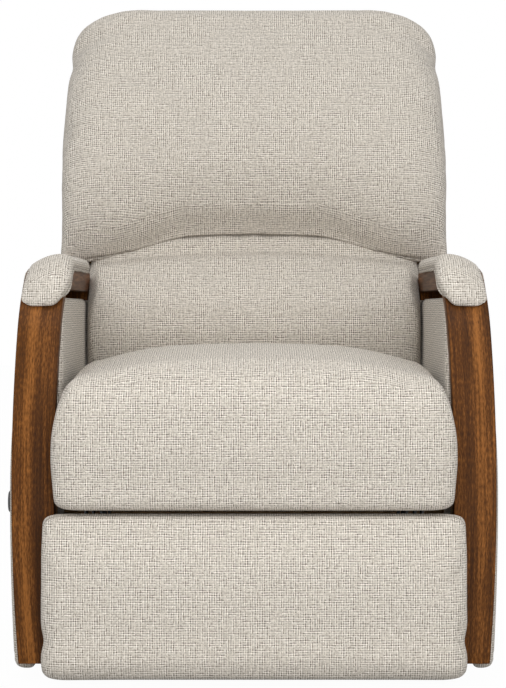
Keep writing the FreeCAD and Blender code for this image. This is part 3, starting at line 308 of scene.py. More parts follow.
def stretch(tree, vector, scale, place=(0.0, 0.0, 0.0)):
    """A vector scaled along its axes"""
    made = tree.nodes.new("ShaderNodeMapping")
    feed(tree, vector, made.inputs["Vector"])
    made.inputs["Scale"].default_value = scale
    made.inputs["Location"].default_value = place
    return made.outputs["Vector"]


def noise(tree, vector, scale=1.0, detail=2.0, result="Fac"):
    """A Noise Texture's result"""
    made = tree.nodes.new("ShaderNodeTexNoise")
    feed(tree, vector, made.inputs["Vector"])
    made.inputs["Scale"].default_value = scale
    made.inputs["Detail"].default_value = detail
    return made.outputs[result]


def ramp(tree, factor, *stops):
    """A colour that runs through the stops, each a place and a colour"""
    made = tree.nodes.new("ShaderNodeValToRGB")
    feed(tree, factor, made.inputs["Fac"])
    elements = made.color_ramp.elements
    while len(elements) < len(stops):
        elements.new(0.5)
    for element, (place, tint) in zip(elements, stops):
        element.position = place
        element.color = (*tint, 1.0)
    return made.outputs["Color"]


def mix_colour(tree, blend, factor, first, second):
    """A colour Mix node's result"""
    made = tree.nodes.new("ShaderNodeMix")
    made.data_type = "RGBA"
    made.blend_type = blend
    feed(tree, factor, made.inputs["Factor"])
    feed(tree, first, made.inputs["A"])
    feed(tree, second, made.inputs["B"])
    return made.outputs["Result"]


def span(tree, value, low, high):
    """A 0 to 1 value spread from low to high"""
    made = tree.nodes.new("ShaderNodeMapRange")
    feed(tree, value, made.inputs["Value"])
    made.inputs["To Min"].default_value = low
    made.inputs["To Max"].default_value = high
    return made.outputs["Result"]


def relief(tree, shader, height, distance, strength=1.0):
    """Bump of this depth on the shader"""
    made = tree.nodes.new("ShaderNodeBump")
    made.inputs["Distance"].default_value = distance
    made.inputs["Strength"].default_value = strength
    feed(tree, height, made.inputs["Height"])
    tree.links.new(made.outputs["Normal"], shader.inputs["Normal"])


def shade(base, times):
    """A colour made lighter or darker"""
    return tuple(min(1.0, times * part) for part in base)


def finish_of(slot):
    """The material made for one of the record's slots"""
    return bpy.data.materials["recliner_" + slot]


def new_material(slot):
    """A material with one Principled shader for one of the record's slots"""
    material = bpy.data.materials.new("recliner_" + slot)
    material.use_nodes = True
    tree = material.node_tree
    tree.nodes.clear()
    output = tree.nodes.new("ShaderNodeOutputMaterial")
    shader = tree.nodes.new("ShaderNodeBsdfPrincipled")
    tree.links.new(shader.outputs["BSDF"], output.inputs["Surface"])
    return tree, shader


def attribute(tree, name, result):
    """A mesh attribute's value"""
    made = tree.nodes.new("ShaderNodeAttribute")
    made.attribute_name = name
    return made.outputs[result]


def object_place(tree):
    """The place on the object, in metres"""
    return tree.nodes.new("ShaderNodeTexCoord").outputs["Object"]


def dashes(tree, thread, along, length, kind):
    """A tone for each short stretch of each thread, from the kind's own set of tones"""
    stagger = 0.618
    which = calculate(tree, "FLOOR", thread)
    staggered = calculate(tree, "MULTIPLY_ADD", which, stagger, calculate(tree, "DIVIDE", along, length))
    cell = tree.nodes.new("ShaderNodeCombineXYZ")
    feed(tree, which, cell.inputs["X"])
    feed(tree, calculate(tree, "FLOOR", staggered), cell.inputs["Y"])
    feed(tree, kind, cell.inputs["Z"])
    own = tree.nodes.new("ShaderNodeTexWhiteNoise")
    feed(tree, cell.outputs["Vector"], own.inputs["Vector"])
    return own.outputs["Value"]


def lines(tree, thread, along, kind):
    """Light and dark threads in turn, stronger and weaker from stretch to stretch"""
    stretch_length = 6.0
    wave = calculate(tree, "SINE", calculate(tree, "MULTIPLY", thread, math.pi))
    pair = calculate(tree, "MULTIPLY", thread, 0.5)
    return calculate(tree, "MULTIPLY", wave, dashes(tree, pair, along, stretch_length, kind))


def weave(tree, pitch):
    """The height and tone of a plain weave of this pitch, and a fleck for each crossing of its threads"""
    cloth = tree.nodes.new("ShaderNodeUVMap")
    cloth.uv_map = "cloth"
    threads = stretch(tree, cloth.outputs["UV"], (1.0 / pitch, 1.0 / pitch, 1.0))
    wander = noise(tree, threads, 0.06, 1.0, "Color")
    shift = tree.nodes.new("ShaderNodeVectorMath")
    shift.operation = "MULTIPLY_ADD"
    feed(tree, wander, shift.inputs[0])
    shift.inputs[1].default_value = (1.2, 1.2, 0.0)
    feed(tree, threads, shift.inputs[2])
    parts = tree.nodes.new("ShaderNodeSeparateXYZ")
    feed(tree, shift.outputs["Vector"], parts.inputs[0])
    across, along = parts.outputs["X"], parts.outputs["Y"]
    rounds = []
    for place in (across, along):
        inside = calculate(tree, "FRACT", place)
        rounds.append(calculate(tree, "SINE", calculate(tree, "MULTIPLY", inside, math.pi)))
    height = calculate(tree, "MULTIPLY", rounds[0], rounds[1])
    both = calculate(tree, "ADD", lines(tree, across, along, 0.0), lines(tree, along, across, 1.0))
    tone = calculate(tree, "MULTIPLY_ADD", both, 0.5, 0.5)
    return height, tone, dashes(tree, across, along, 1.0, 2.0)


def make_linen(finishes):
    """Heathered plain-weave upholstery cloth"""
    tree, shader = new_material("linen")
    height, tone, fleck = weave(tree, finishes.thread)
    thread_share, fleck_share, paler = 0.53, 0.25, 0.11
    mixed = calculate(tree, "MULTIPLY_ADD", fleck, fleck_share, paler)
    mixed = calculate(tree, "MULTIPLY_ADD", tone, thread_share, mixed)
    cloth = ramp(tree, mixed, (0.08, finishes.linen_dark), (0.50, finishes.linen_mid),
                 (0.92, finishes.linen_light))
    # Painted shade and highlight: the cloth is darkened in the gaps between the threads and lightened on
    # their crowns
    gap = span(tree, height, 0.70, 1.14)
    cloth = mix_colour(tree, "MULTIPLY", 1.0, cloth, gap)
    # Painted shade: the linen darkens along the marked sewn lines, where the seam grooves would fall into
    # shade
    seam = calculate(tree, "MULTIPLY", attribute(tree, "seam", "Fac"), 0.55)
    cloth = mix_colour(tree, "MULTIPLY", seam, cloth, (0.25, 0.22, 0.19, 1.0))
    feed(tree, cloth, shader.inputs["Base Color"])
    shader.inputs["Roughness"].default_value = 0.92
    shader.inputs["Specular IOR Level"].default_value = 0.12
    shader.inputs["Sheen Weight"].default_value = 0.10
    shader.inputs["Sheen Roughness"].default_value = 0.6
    raised = calculate(tree, "MULTIPLY_ADD", fleck, 0.4, height)
    relief(tree, shader, raised, 0.0004, 0.5)


def make_walnut(finishes):
    """Lacquered walnut whose grain follows the bent arms, with a painted highlight band down the outer part
    of each board
    """
    tree, shader = new_material("walnut")
    grain = attribute(tree, "grain", "Vector")
    parts = tree.nodes.new("ShaderNodeSeparateXYZ")
    feed(tree, grain, parts.inputs[0])
    figure = noise(tree, stretch(tree, grain, (42.0, 2.2, 42.0)), 1.0, 3.0)
    streak = noise(tree, stretch(tree, grain, (300.0, 9.0, 300.0)), 1.0, 4.0)
    fibre = noise(tree, stretch(tree, grain, (620.0, 130.0, 620.0)), 1.0, 2.0)
    tone = calculate(tree, "MULTIPLY_ADD", figure, 0.38, calculate(tree, "MULTIPLY", streak, 0.36))
    tone = calculate(tree, "MULTIPLY_ADD", fibre, 0.34, tone)
    # Painted highlight: a lighter band runs along each board a little outside its middle, where its rounded
    # face would catch the light
    highlight_band_place, highlight_band_width, highlight_band_share = 0.011, 0.010, 0.10
    band = calculate(tree, "SUBTRACT", parts.outputs["X"], highlight_band_place)
    band = calculate(tree, "DIVIDE", band, highlight_band_width)
    band = calculate(tree, "MULTIPLY", band, band)
    band = calculate(tree, "POWER", math.e, calculate(tree, "MULTIPLY", band, -1.0))
    tone = calculate(tree, "MULTIPLY_ADD", band, highlight_band_share, tone)
    wood = ramp(tree, tone, (0.45, finishes.walnut_dark), (0.570, finishes.walnut_mid),
                (0.71, finishes.walnut_light))
    feed(tree, wood, shader.inputs["Base Color"])
    feed(tree, span(tree, streak, 0.52, 0.36), shader.inputs["Roughness"])
    shader.inputs["Specular IOR Level"].default_value = 0.07
    relief(tree, shader, fibre, 0.0002, 0.4)


def make_timber(finishes):
    """Plain sawn timber of the hidden frame"""
    tree, shader = new_material("frame_wood")
    place = object_place(tree)
    rings = noise(tree, stretch(tree, place, (60.0, 5.0, 60.0)), 1.0, 4.0)
    fibre = noise(tree, stretch(tree, place, (700.0, 30.0, 700.0)), 1.0, 2.0)
    tone = calculate(tree, "MULTIPLY_ADD", rings, 0.75, calculate(tree, "MULTIPLY", fibre, 0.25))
    wood = ramp(tree, tone, (0.36, finishes.timber_dark), (0.64, finishes.timber_light))
    feed(tree, wood, shader.inputs["Base Color"])
    feed(tree, span(tree, fibre, 0.75, 0.55), shader.inputs["Roughness"])
    relief(tree, shader, fibre, 0.0004, 0.5)


def make_painted_steel(finishes):
    """Satin black paint with a slight orange peel"""
    tree, shader = new_material("black_steel")
    place = object_place(tree)
    peel = noise(tree, place, 900.0, 2.0)
    dust = noise(tree, place, 22.0, 4.0)
    worn = shade(finishes.steel_paint, 2.2)
    feed(tree, ramp(tree, dust, (0.40, finishes.steel_paint), (0.72, worn)), shader.inputs["Base Color"])
    feed(tree, span(tree, dust, 0.34, 0.55), shader.inputs["Roughness"])
    relief(tree, shader, peel, 0.0002, 0.35)


def make_plating(finishes):
    """Zinc-plated steel with faint drawn lines"""
    tree, shader = new_material("plain_steel")
    place = object_place(tree)
    bloom = noise(tree, place, 60.0, 3.0)
    drawn = noise(tree, stretch(tree, place, (40.0, 1500.0, 1500.0)), 1.0, 2.0)
    dull = shade(finishes.plating, 0.72)
    feed(tree, ramp(tree, bloom, (0.35, dull), (0.65, finishes.plating)), shader.inputs["Base Color"])
    shader.inputs["Metallic"].default_value = 1.0
    feed(tree, span(tree, drawn, 0.28, 0.48), shader.inputs["Roughness"])
    relief(tree, shader, drawn, 0.0001, 0.25)


def make_plastic(finishes):
    """Moulded plastic with a fine grain"""
    tree, shader = new_material("dark_plastic")
    place = object_place(tree)
    pebble = noise(tree, place, 1400.0, 2.0)
    haze = noise(tree, place, 35.0, 3.0)
    pale = shade(finishes.plastic, 1.8)
    feed(tree, ramp(tree, haze, (0.38, finishes.plastic), (0.70, pale)), shader.inputs["Base Color"])
    feed(tree, span(tree, pebble, 0.45, 0.62), shader.inputs["Roughness"])
    relief(tree, shader, pebble, 0.0002, 0.4)


def make_webbing(finishes):
    """Elastic strap with a ribbed weave"""
    tree, shader = new_material("webbing")
    height, tone = weave(tree, finishes.strap_thread)[:2]
    pale = shade(finishes.strap, 2.4)
    strap = ramp(tree, tone, (0.35, finishes.strap), (0.68, pale))
    # Painted shade: the strap is darkened in the gaps between its threads
    strap = mix_colour(tree, "MULTIPLY", 1.0, strap, span(tree, height, 0.6, 1.0))
    feed(tree, strap, shader.inputs["Base Color"])
    shader.inputs["Roughness"].default_value = 0.85
    relief(tree, shader, height, 0.0005, 0.8)


# Shaping of the soft pieces

def add_filling(piece, padding):
    """A cloth cover under pressure, cut a little larger than the piece"""
    cloth = piece.modifiers.new("Filling", "CLOTH")
    cloth.settings.use_pressure = True
    cloth.settings.uniform_pressure_force = padding.pressure
    cloth.settings.shrink_min = -padding.slack
    cloth.settings.effector_weights.gravity = 0.0
    cloth.point_cache.frame_end = padding.frames


def settle(piece, points, limit, normals, padding):
    """Keeps the simulation's moves within the limit, more so where it drew the cover in, and smooths them"""
    tiny = 1e-9
    move = positions(piece) - points
    reach = np.linalg.norm(move, axis=1) + tiny
    inward = smooth_step(-(move * normals).sum(axis=1) / reach, -0.5, 0.5)
    allowed = np.maximum(limit * (padding.bulge + (padding.pull - padding.bulge) * inward), tiny)
    set_positions(piece, points + move * (allowed * np.tanh(reach / allowed) / reach)[:, None])
    apply_modifier(piece, "SMOOTH", factor=0.5, iterations=3)
    subdivide(piece)


def swell(plans, padding):
    """Fills soft pieces by cloth simulation; a plan is a piece, its node, its furthest move and an easing"""
    scene = bpy.context.scene
    starts = []
    for piece, node, furthest, ease in plans:
        points = positions(piece)
        room = room_round(node, points, furthest + padding.clearance)
        limit = np.clip(room - padding.clearance, 0.0, furthest) * ease(points)
        points = points + outward(piece) * (limit * padding.fill)[:, None]
        set_positions(piece, points)
        starts.append((piece, points, limit, outward(piece)))
        add_filling(piece, padding)
    for step in range(1, padding.frames + 1):
        scene.frame_set(step)
    for piece, points, limit, normals in starts:
        only(piece)
        bpy.ops.object.modifier_apply(modifier="Filling")
        settle(piece, points, limit, normals, padding)
    scene.frame_set(1)


def full(points):
    """No easing: every point may swell"""
    return np.ones(len(points))


def seat_ease(points):
    """The seat's roll stays slim where the footrest passes below it"""
    return smooth_step(points[:, 2], 0.275, 0.345)


def footrest_ease(points):
    """The footrest stays slim at its top, which passes under the seat's roll"""
    return 1.0 - smooth_step(points[:, 2], 0.175, 0.235)


def in_back(points):
    """Points measured across, into and up the leaning back, from its pivot"""
    return (points - BACK_PIVOT) @ BACK_AXES


def from_back(local):
    """The reverse of in_back"""
    return local @ BACK_AXES.T + BACK_PIVOT


def shape_pillow(piece):
    """Rounds the pillow's upper corners, arches its lower edge and rolls its lower front under"""
    top_fall, corner_fall = 0.004, 0.013
    lean_back, roll_back = 0.016, 0.064
    roll_height, roll_span = 0.070, 0.068
    edge_lift, middle_lift = 0.007, 0.023
    local = in_back(positions(piece))
    wide, deep, tall = local.T
    upper = smooth_step(tall, 0.50, 0.68)
    fall = upper * (top_fall + corner_fall * smooth_step(np.abs(wide), 0.19, 0.30))
    slope = lean_back * np.clip((0.37 - tall) / 0.12, 0.0, 1.0) ** 2
    under = np.clip((tall.min() + roll_height - tall) / roll_span, 0.0, 1.0)
    roll = roll_back * (1.0 - np.sqrt(1.0 - under ** 2))
    arch = edge_lift + middle_lift * (1.0 - smooth_step(np.abs(wide), 0.10, 0.25))
    local[:, 1] += (slope + roll) * smooth_step(-deep, 0.05, 0.11)
    local[:, 2] += arch * (1.0 - smooth_step(tall, 0.24, 0.42)) - fall
    set_positions(piece, from_back(local))


def shape_lumbar(piece):
    """Draws the lumbar panel out to the sides, up behind the pillow's roll and down behind the seat"""
    widen, edge_rise, middle_rise = 1.050, 0.026, 0.018
    top_back, low_back, low_drop = 0.041, 0.040, 0.040
    local = in_back(positions(piece))
    upper = smooth_step(local[:, 2], 0.12, 0.225)
    lower = 1.0 - smooth_step(local[:, 2], 0.035, 0.085)
    middle = 1.0 - smooth_step(np.abs(local[:, 0]), 0.10, 0.25)
    local[:, 0] *= widen
    local[:, 1] += top_back * upper + low_back * lower * smooth_step(-local[:, 1], 0.02, 0.06)
    local[:, 2] += (edge_rise + middle_rise * middle) * upper - low_drop * lower
    set_positions(piece, from_back(local))


def shape_seat(piece):
    """Slopes the seat's front corners, lowers its sides and lets its roll hang to the footrest"""
    shoulder, corner_slope, side_narrow = 0.262, 0.42, 0.004
    top_fall, side_fall = 0.005, 0.015
    roll_forward, roll_drop = 0.007, 0.004
    points = positions(piece)
    beside = np.abs(points[:, 0])
    height = points[:, 2].copy()
    beyond = np.maximum(beside - shoulder, 0.0)
    narrow = corner_slope * beyond * smooth_step(height, 0.350, 0.445)
    narrow += side_narrow * smooth_step(beside, 0.20, 0.27)
    points[:, 0] -= np.sign(points[:, 0]) * narrow
    fall = top_fall + side_fall * smooth_step(beside, 0.13, 0.275)
    roll = 1.0 - smooth_step(height, 0.262, 0.33)
    front = smooth_step(-points[:, 1], 0.33, 0.42)
    points[:, 1] -= roll_forward * front * (1.0 - smooth_step(height, 0.255, 0.30))
    points[:, 2] -= fall * smooth_step(height, 0.40, 0.485) + roll_drop * roll
    set_positions(piece, points)


def shape_footrest(piece):
    """Lowers the footrest's upper edge to leave room under the seat's roll, and fills its lower edge"""
    low_forward, low_drop, top_drop = 0.008, 0.005, 0.003
    points = positions(piece)
    lower = 1.0 - smooth_step(points[:, 2], 0.035, 0.095)
    points[:, 1] -= low_forward * lower * smooth_step(-points[:, 1], 0.38, 0.42)
    points[:, 2] -= top_drop * smooth_step(points[:, 2], 0.19, 0.25) + low_drop * lower
    set_positions(piece, points)


def sew_round(piece, axis, offset, padding):
    """A seam round a cushion in a plane across the axis, left out where the cover looks along it"""
    points = (positions(piece) - BACK_PIVOT) @ axis
    share = 1.0 - smooth_step(np.abs(outward(piece) @ axis), 0.45, 0.8)
    sew(piece, points - offset, padding.seam_depth, padding.seam_width, share)


def pinch(piece, height, depth, spread):
    """A soft crease across both sides of a cushion at this height"""
    points = positions(piece)
    looks = outward(piece)
    crease = np.exp(-((points[:, 2] - height) / spread) ** 2) * smooth_step(np.abs(looks[:, 0]), 0.3, 0.9)
    points[:, 0] -= np.sign(looks[:, 0]) * depth * crease
    set_positions(piece, points)


class RECLINER_OT_finishes(bpy.types.Operator):
    """Make every finish and give the frame's own nodes theirs"""
    bl_idname = "recliner.finishes"
    bl_label = "Finishes"

    def execute(self, context):
        finishes = context.scene.recliner_finishes
        for make in (make_linen, make_walnut, make_timber, make_painted_steel, make_plating, make_plastic,
                     make_webbing):
            make(finishes)
        for part in frame["record"]["subparts"]:
            node = frame["nodes"][part["node"]]
            if not node.material_slots:
                node.data.materials.append(None)
            for place in node.material_slots:
                place.material = finish_of(part["material_slot"])
        return {"FINISHED"}


class RECLINER_OT_cushions(bpy.types.Operator):
    """Back pillow, lumbar panel, seat cushion and footrest pad, filled by cloth simulation"""
    bl_idname = "recliner.cushions"
    bl_label = "Cushions"

    def execute(self, context):
        padding = context.scene.recliner_padding
        pillow = soft_start("back_pillow", padding.voxel, 10)
        lumbar = soft_start("lumbar_panel", padding.voxel, 6)
        seat = soft_start("seat_cushion", padding.voxel, 8)
        footrest = soft_start("footrest_pad", padding.voxel, 8)
        shape_pillow(pillow)
        shape_lumbar(lumbar)
        shape_seat(seat)
        shape_footrest(footrest)
        swell([
            (pillow, "back_pillow", padding.pillow_swell, full),
            (lumbar, "lumbar_panel", padding.lumbar_swell, full),
            (seat, "seat_cushion", padding.seat_swell, seat_ease),
            (footrest, "footrest_pad", padding.footrest_swell, footrest_ease),
        ], padding)
        pillow_seam, footrest_seam = -0.060, -0.425
        pillow_pinch, footrest_pinch, pinch_depth = 0.963, 0.072, 0.004
        sew_round(pillow, BACK_DEEP, pillow_seam, padding)
        pinch(pillow, pillow_pinch, pinch_depth, 0.016)
        sew_round(footrest, np.array((0.0, 1.0, 0.0)), footrest_seam - BACK_PIVOT[1], padding)
        pinch(footrest, footrest_pinch, pinch_depth, 0.014)
        finish_soft(pillow, "back_pillow", "back", BACK_AXES)
        finish_soft(lumbar, "lumbar_panel", "back", BACK_AXES)
        finish_soft(seat, "seat_cushion", "chair", UPRIGHT_AXES)
        finish_soft(footrest, "footrest_pad", "footrest", UPRIGHT_AXES)
        return {"FINISHED"}


def bends(arms):
    """Centres of the boards' two bends: front bend's y and z, rear bend's y and z"""
    return (arms.front + arms.front_radius, arms.top - arms.front_radius,
            arms.rear - arms.rear_radius, arms.top - arms.rear_radius)


def above_board(points, arms):
    """Height of points above the outer face of the bent boards"""
    centre_y, centre_z = bends(arms)[:2]
    on_bend = np.hypot(points[:, 1] - centre_y, points[:, 2] - centre_z) - arms.front_radius
    return np.where(points[:, 1] < centre_y, on_bend, points[:, 2] - arms.top)


def shape_arm_pad(piece, arms):
    """Domes a pad, fuller on its inner side, rounds its lip's corners and hangs its edges over the board"""
    crown_places = (0.268, 0.280, 0.293, 0.305, 0.315, 0.325, 0.333, 0.342)
    crown_shares = (0.82, 0.84, 0.76, 0.64, 0.52, 0.34, 0.18, 0.06)
    corner_places = (0.262, 0.268, 0.275, 0.290)
    corner_turns = (34.0, 25.0, 12.0, 0.0)
    outer_turn, inner_hang, outer_hang, drawn_in = 4.0, 0.006, 0.005, 0.0012
    points = positions(piece)
    beside = np.abs(points[:, 0])
    centre = np.array(bends(arms)[:2])
    spoke = points[:, 1:] - centre
    on_bend = spoke[:, 0] < 0.0
    rise = above_board(points, arms)
    crown = np.interp(beside, crown_places, crown_shares)
    raised = np.where(rise > 0.0, rise * crown, rise)
    rail = outer_edge(arms, points[:, 2])
    outside = np.maximum(rail - arms.width - beside, beside - rail)
    hang = np.where(beside < rail - arms.width / 2, inner_hang, outer_hang)
    raised -= hang * smooth_step(outside, 0.0, 0.003) * (1.0 - smooth_step(raised, 0.002, 0.012))
    flush = drawn_in * smooth_step(beside - rail, -0.004, 0.003) * smooth_step(rise, -0.004, 0.008)
    points[:, 0] -= np.sign(points[:, 0]) * flush
    around = np.degrees(np.arctan2(spoke[:, 1], -spoke[:, 0]))
    corner = np.interp(beside, corner_places, corner_turns) + outer_turn * smooth_step(beside, 0.325, 0.342)
    around = np.radians(around + corner * (1.0 - smooth_step(around, 25.0, 75.0)))
    reach = arms.front_radius + raised
    points[:, 1] = np.where(on_bend, centre[0] - reach * np.cos(around), points[:, 1])
    points[:, 2] = np.where(on_bend, centre[1] + reach * np.sin(around), arms.top + raised)
    set_positions(piece, points)


class RECLINER_OT_arm_pads(bpy.types.Operator):
    """Padded tops of both arms, with their covers folded under along the lower edge"""
    bl_idname = "recliner.arm_pads"
    bl_label = "Arm pads"

    def execute(self, context):
        padding = context.scene.recliner_padding
        arms = context.scene.recliner_arms
        nodes = ("right_arm_pad", "left_arm_pad")
        fold_depth, fold_place, fold_width = 0.0018, 0.0040, 0.0040
        seam_place, seam_depth, seam_width = 0.0025, 0.0016, 0.0022
        pads = [soft_start(node, padding.fine_voxel, 4) for node in nodes]
        for pad in pads:
            shape_arm_pad(pad, arms)
        swell([(pad, node, padding.arm_pad_swell, full) for pad, node in zip(pads, nodes)], padding)
        for pad, node in zip(pads, nodes):
            points = positions(pad)
            rise = above_board(points, arms)
            flank = smooth_step(-np.sign(points[:, 0]) * outward(pad)[:, 0], 0.25, 0.6)
            fold = fold_depth * flank * np.exp(-((rise + fold_place) / fold_width) ** 2)
            set_positions(pad, points + outward(pad) * fold[:, None])
            sew(pad, rise - seam_place, seam_depth, seam_width, flank)
            finish_soft(pad, node, "chair", UPRIGHT_AXES)
        return {"FINISHED"}


def panel(node, padding, rounds):
    """A thin upholstered board that stands a little proud where it has room"""
    piece = soft_start(node, padding.fine_voxel, rounds)
    points = positions(piece)
    room = room_round(node, points, padding.panel_swell + padding.clearance)
    lift = np.clip(room - padding.clearance, 0.0, padding.panel_swell)
    set_positions(piece, points + outward(piece) * lift[:, None])
    apply_modifier(piece, "SMOOTH", factor=0.5, iterations=2)
    subdivide(piece)
    return piece


def hem(piece, node, axes, inset, padding):
    """A sewn line inside a panel's edge, on the faces whose outline the other two axes give"""
    low, high = (np.array(corner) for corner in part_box(node))
    points = positions(piece)
    edge = np.full(len(points), 1.0)
    for axis in axes:
        edge = np.minimum(edge, np.minimum(points[:, axis] - low[axis], high[axis] - points[:, axis]))
    sew(piece, edge - inset, padding.seam_depth, padding.seam_width)


def taper_panel(piece):
    """Flattens an outer side panel towards the post"""
    wall, flattest, regained = 0.3233, 0.84, 0.16
    points = positions(piece)
    share = flattest + regained * smooth_step(points[:, 1], -0.30, -0.12)
    beside = np.abs(points[:, 0])
    beside = np.where(beside > wall, wall + (beside - wall) * share, beside)
    points[:, 0] = np.sign(points[:, 0]) * beside
    set_positions(piece, points)


def strip(low, high):
    """A flat strip of cloth between two corners, its edges eased"""
    bpy.ops.object.select_all(action="DESELECT")
    bpy.ops.mesh.primitive_cube_add(size=1.0, location=(low + high) / 2)
    piece = bpy.context.object
    piece.scale = high - low
    bpy.ops.object.transform_apply(location=True, rotation=True, scale=True)
    apply_modifier(piece, "BEVEL", width=0.0007, segments=2)
    return piece


def join(pieces, name):
    """One piece made of several, without the cloth places that they came with"""
    only(pieces[0])
    for piece in pieces:
        piece.select_set(True)
    bpy.ops.object.join()
    pieces[0].name = name
    for layer in list(pieces[0].data.uv_layers):
        pieces[0].data.uv_layers.remove(layer)
    return pieces[0]


def edge_band(side):
    """Cloth over the top and rear edges of a side frame, which close the gap between its two panels"""
    low, high = (np.array(corner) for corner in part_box(side + "_side_frame"))
    over_inner, over_outer, thick = 0.007, 0.015, 0.0022
    spread = (over_inner, over_outer) if low[0] > 0.0 else (over_outer, over_inner)
    left = low[0] - spread[0]
    right = high[0] + spread[1]
    top = strip(np.array((left, low[1], high[2])), np.array((right, high[1] + thick, high[2] + thick)))
    rear = strip(np.array((left, high[1], low[2])), np.array((right, high[1] + thick, high[2])))
    band = join([top, rear], side + "_edge_band")
    lay_cloth(band, UPRIGHT_AXES)
    band.data.materials.append(finish_of("linen"))
    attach(band, "chair")


class RECLINER_OT_covers(bpy.types.Operator):
    """Upholstered inner and outer side panels with their edges, rear valance and outer back"""
    bl_idname = "recliner.covers"
    bl_label = "Covers"

    def execute(self, context):
        padding = context.scene.recliner_padding
        side_hem, valance_hem, back_seam = 0.016, 0.014, 0.215
        for side in ("right", "left"):
            inner = side + "_inner_panel"
            finish_soft(panel(inner, padding, 3), inner, "chair", UPRIGHT_AXES)
            outer = side + "_outer_panel"
            cover = panel(outer, padding, 4)
            taper_panel(cover)
            hem(cover, outer, (1, 2), side_hem, padding)
            apply_modifier(cover, "DECIMATE", ratio=padding.thinned)
            finish_soft(cover, outer, "chair", UPRIGHT_AXES)
            edge_band(side)
        valance = panel("rear_valance", padding, 3)
        hem(valance, "rear_valance", (0, 2), valance_hem, padding)
        finish_soft(valance, "rear_valance", "chair", UPRIGHT_AXES)
        back = panel("outer_back", padding, 4)
        sew_round(back, BACK_TALL, back_seam, padding)
        apply_modifier(back, "DECIMATE", ratio=padding.thinned)
        finish_soft(back, "outer_back", "back", BACK_AXES)
        return {"FINISHED"}


# The wooden arms

def outer_edge(arms, height):
    """How far out the board's outer edge lies at a height: a bow through three points"""
    foot, middle, top = arms.foot, arms.middle, arms.top
    at_foot = (height - middle) * (height - top) / ((foot - middle) * (foot - top))
    at_middle = (height - foot) * (height - top) / ((middle - foot) * (middle - top))
    at_top = (height - foot) * (height - middle) / ((top - foot) * (top - middle))
    return arms.outer_foot * at_foot + arms.outer_middle * at_middle + arms.outer_top * at_top


def push(steps, reach):
    """Extrudes the selected end of the board in equal steps"""
    one_step = tuple(part / steps for part in reach)
    for step in range(steps):
        bpy.ops.mesh.extrude_region_move(TRANSFORM_OT_translate={"value": one_step})


def turn(steps, centre):
    """Spins the selected end of the board a quarter turn, up and back or back and down"""
    bpy.ops.mesh.spin(steps=steps, angle=math.pi / 2, center=centre, axis=(1.0, 0.0, 0.0))


def bent_board(arms):
    """A board that rises as the post, bends into the rail and bends down behind it"""
    bend_y, bend_z, rear_y, rear_z = bends(arms)
    bpy.ops.object.select_all(action="DESELECT")
    bpy.ops.mesh.primitive_plane_add(size=1.0, location=(0.0, arms.front + arms.thickness / 2, arms.foot))
    board = bpy.context.object
    bpy.ops.object.mode_set(mode="EDIT")
    bpy.ops.mesh.select_all(action="SELECT")
    bpy.ops.transform.resize(value=(arms.width, arms.thickness, 1.0))
    push(24, (0.0, 0.0, bend_z - arms.foot))
    turn(24, (0.0, bend_y, bend_z))
    push(20, (0.0, rear_y - bend_y, 0.0))
    turn(16, (0.0, rear_y, rear_z))
    push(1, (0.0, 0.0, arms.rear_foot - rear_z))
    bpy.ops.mesh.select_all(action="SELECT")
    bpy.ops.mesh.remove_doubles(threshold=1e-5)
    bpy.ops.mesh.normals_make_consistent(inside=False)
    bpy.ops.object.mode_set(mode="OBJECT")
    bpy.ops.object.transform_apply(location=True, rotation=True, scale=True)
    points = positions(board)
    points[:, 0] += outer_edge(arms, points[:, 2]) - arms.width / 2
    set_positions(board, points)
    apply_modifier(board, "BEVEL", width=arms.edge, segments=4, limit_method="ANGLE",
                   angle_limit=math.radians(40.0))
    return board


def run_grain(board, arms, start):
    """Stores where each point lies across, along and into the board, so that the grain follows the bends"""
    points = positions(board)
    y, z = points[:, 1], points[:, 2]
    bend_y, bend_z, rear_y, rear_z = bends(arms)
    quarter = math.pi / 2
    bend_turn = np.arctan2(z - bend_z, bend_y - y)
    rear_turn = np.arctan2(y - rear_y, z - rear_z)
    rail_start = bend_z + quarter * arms.front_radius
    rear_start = rail_start + rear_y - bend_y
    on_bend = (y < bend_y) & (z > bend_z)
    on_rear = y > rear_y
    on_rail = (y >= bend_y) & (y <= rear_y)
    along = np.select([on_bend, on_rail, on_rear],
                      [bend_z + bend_turn * arms.front_radius, rail_start + y - bend_y,
                       rear_start + rear_turn * arms.rear_radius], z)
    depth = np.select([on_bend, on_rail, on_rear],
                      [arms.front_radius - np.hypot(y - bend_y, z - bend_z), arms.top - z,
                       arms.rear_radius - np.hypot(y - rear_y, z - rear_z)], y - arms.front)
    across = np.abs(points[:, 0]) - outer_edge(arms, z) + arms.width / 2
    grain = board.data.attributes.new("grain", "FLOAT_VECTOR", "POINT")
    grain.data.foreach_set("vector", np.stack((across, along + start, depth), axis=1).ravel())


class RECLINER_OT_wooden_arms(bpy.types.Operator):
    """Right and left bent walnut arms"""
    bl_idname = "recliner.wooden_arms"
    bl_label = "Wooden arms"

    def execute(self, context):
        arms = context.scene.recliner_arms
        right = bent_board(arms)
        right.name = "right_arm_board"
        left = bpy.data.objects.new("left_arm_board", right.data.copy())
        context.scene.collection.objects.link(left)
        set_positions(left, positions(left) * (-1.0, 1.0, 1.0))
        only(left)
        bpy.ops.object.mode_set(mode="EDIT")
        bpy.ops.mesh.select_all(action="SELECT")
        bpy.ops.mesh.normals_make_consistent(inside=False)
        bpy.ops.object.mode_set(mode="OBJECT")
        for board, node, start in ((right, "right_arm", 0.0), (left, "left_arm", 3.7)):
            run_grain(board, arms, start)
            only(board)
            bpy.ops.object.shade_smooth_by_angle(angle=math.radians(35.0))
            board.data.materials.append(finish_of("walnut"))
            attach(board, "chair")
            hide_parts(node)
        return {"FINISHED"}


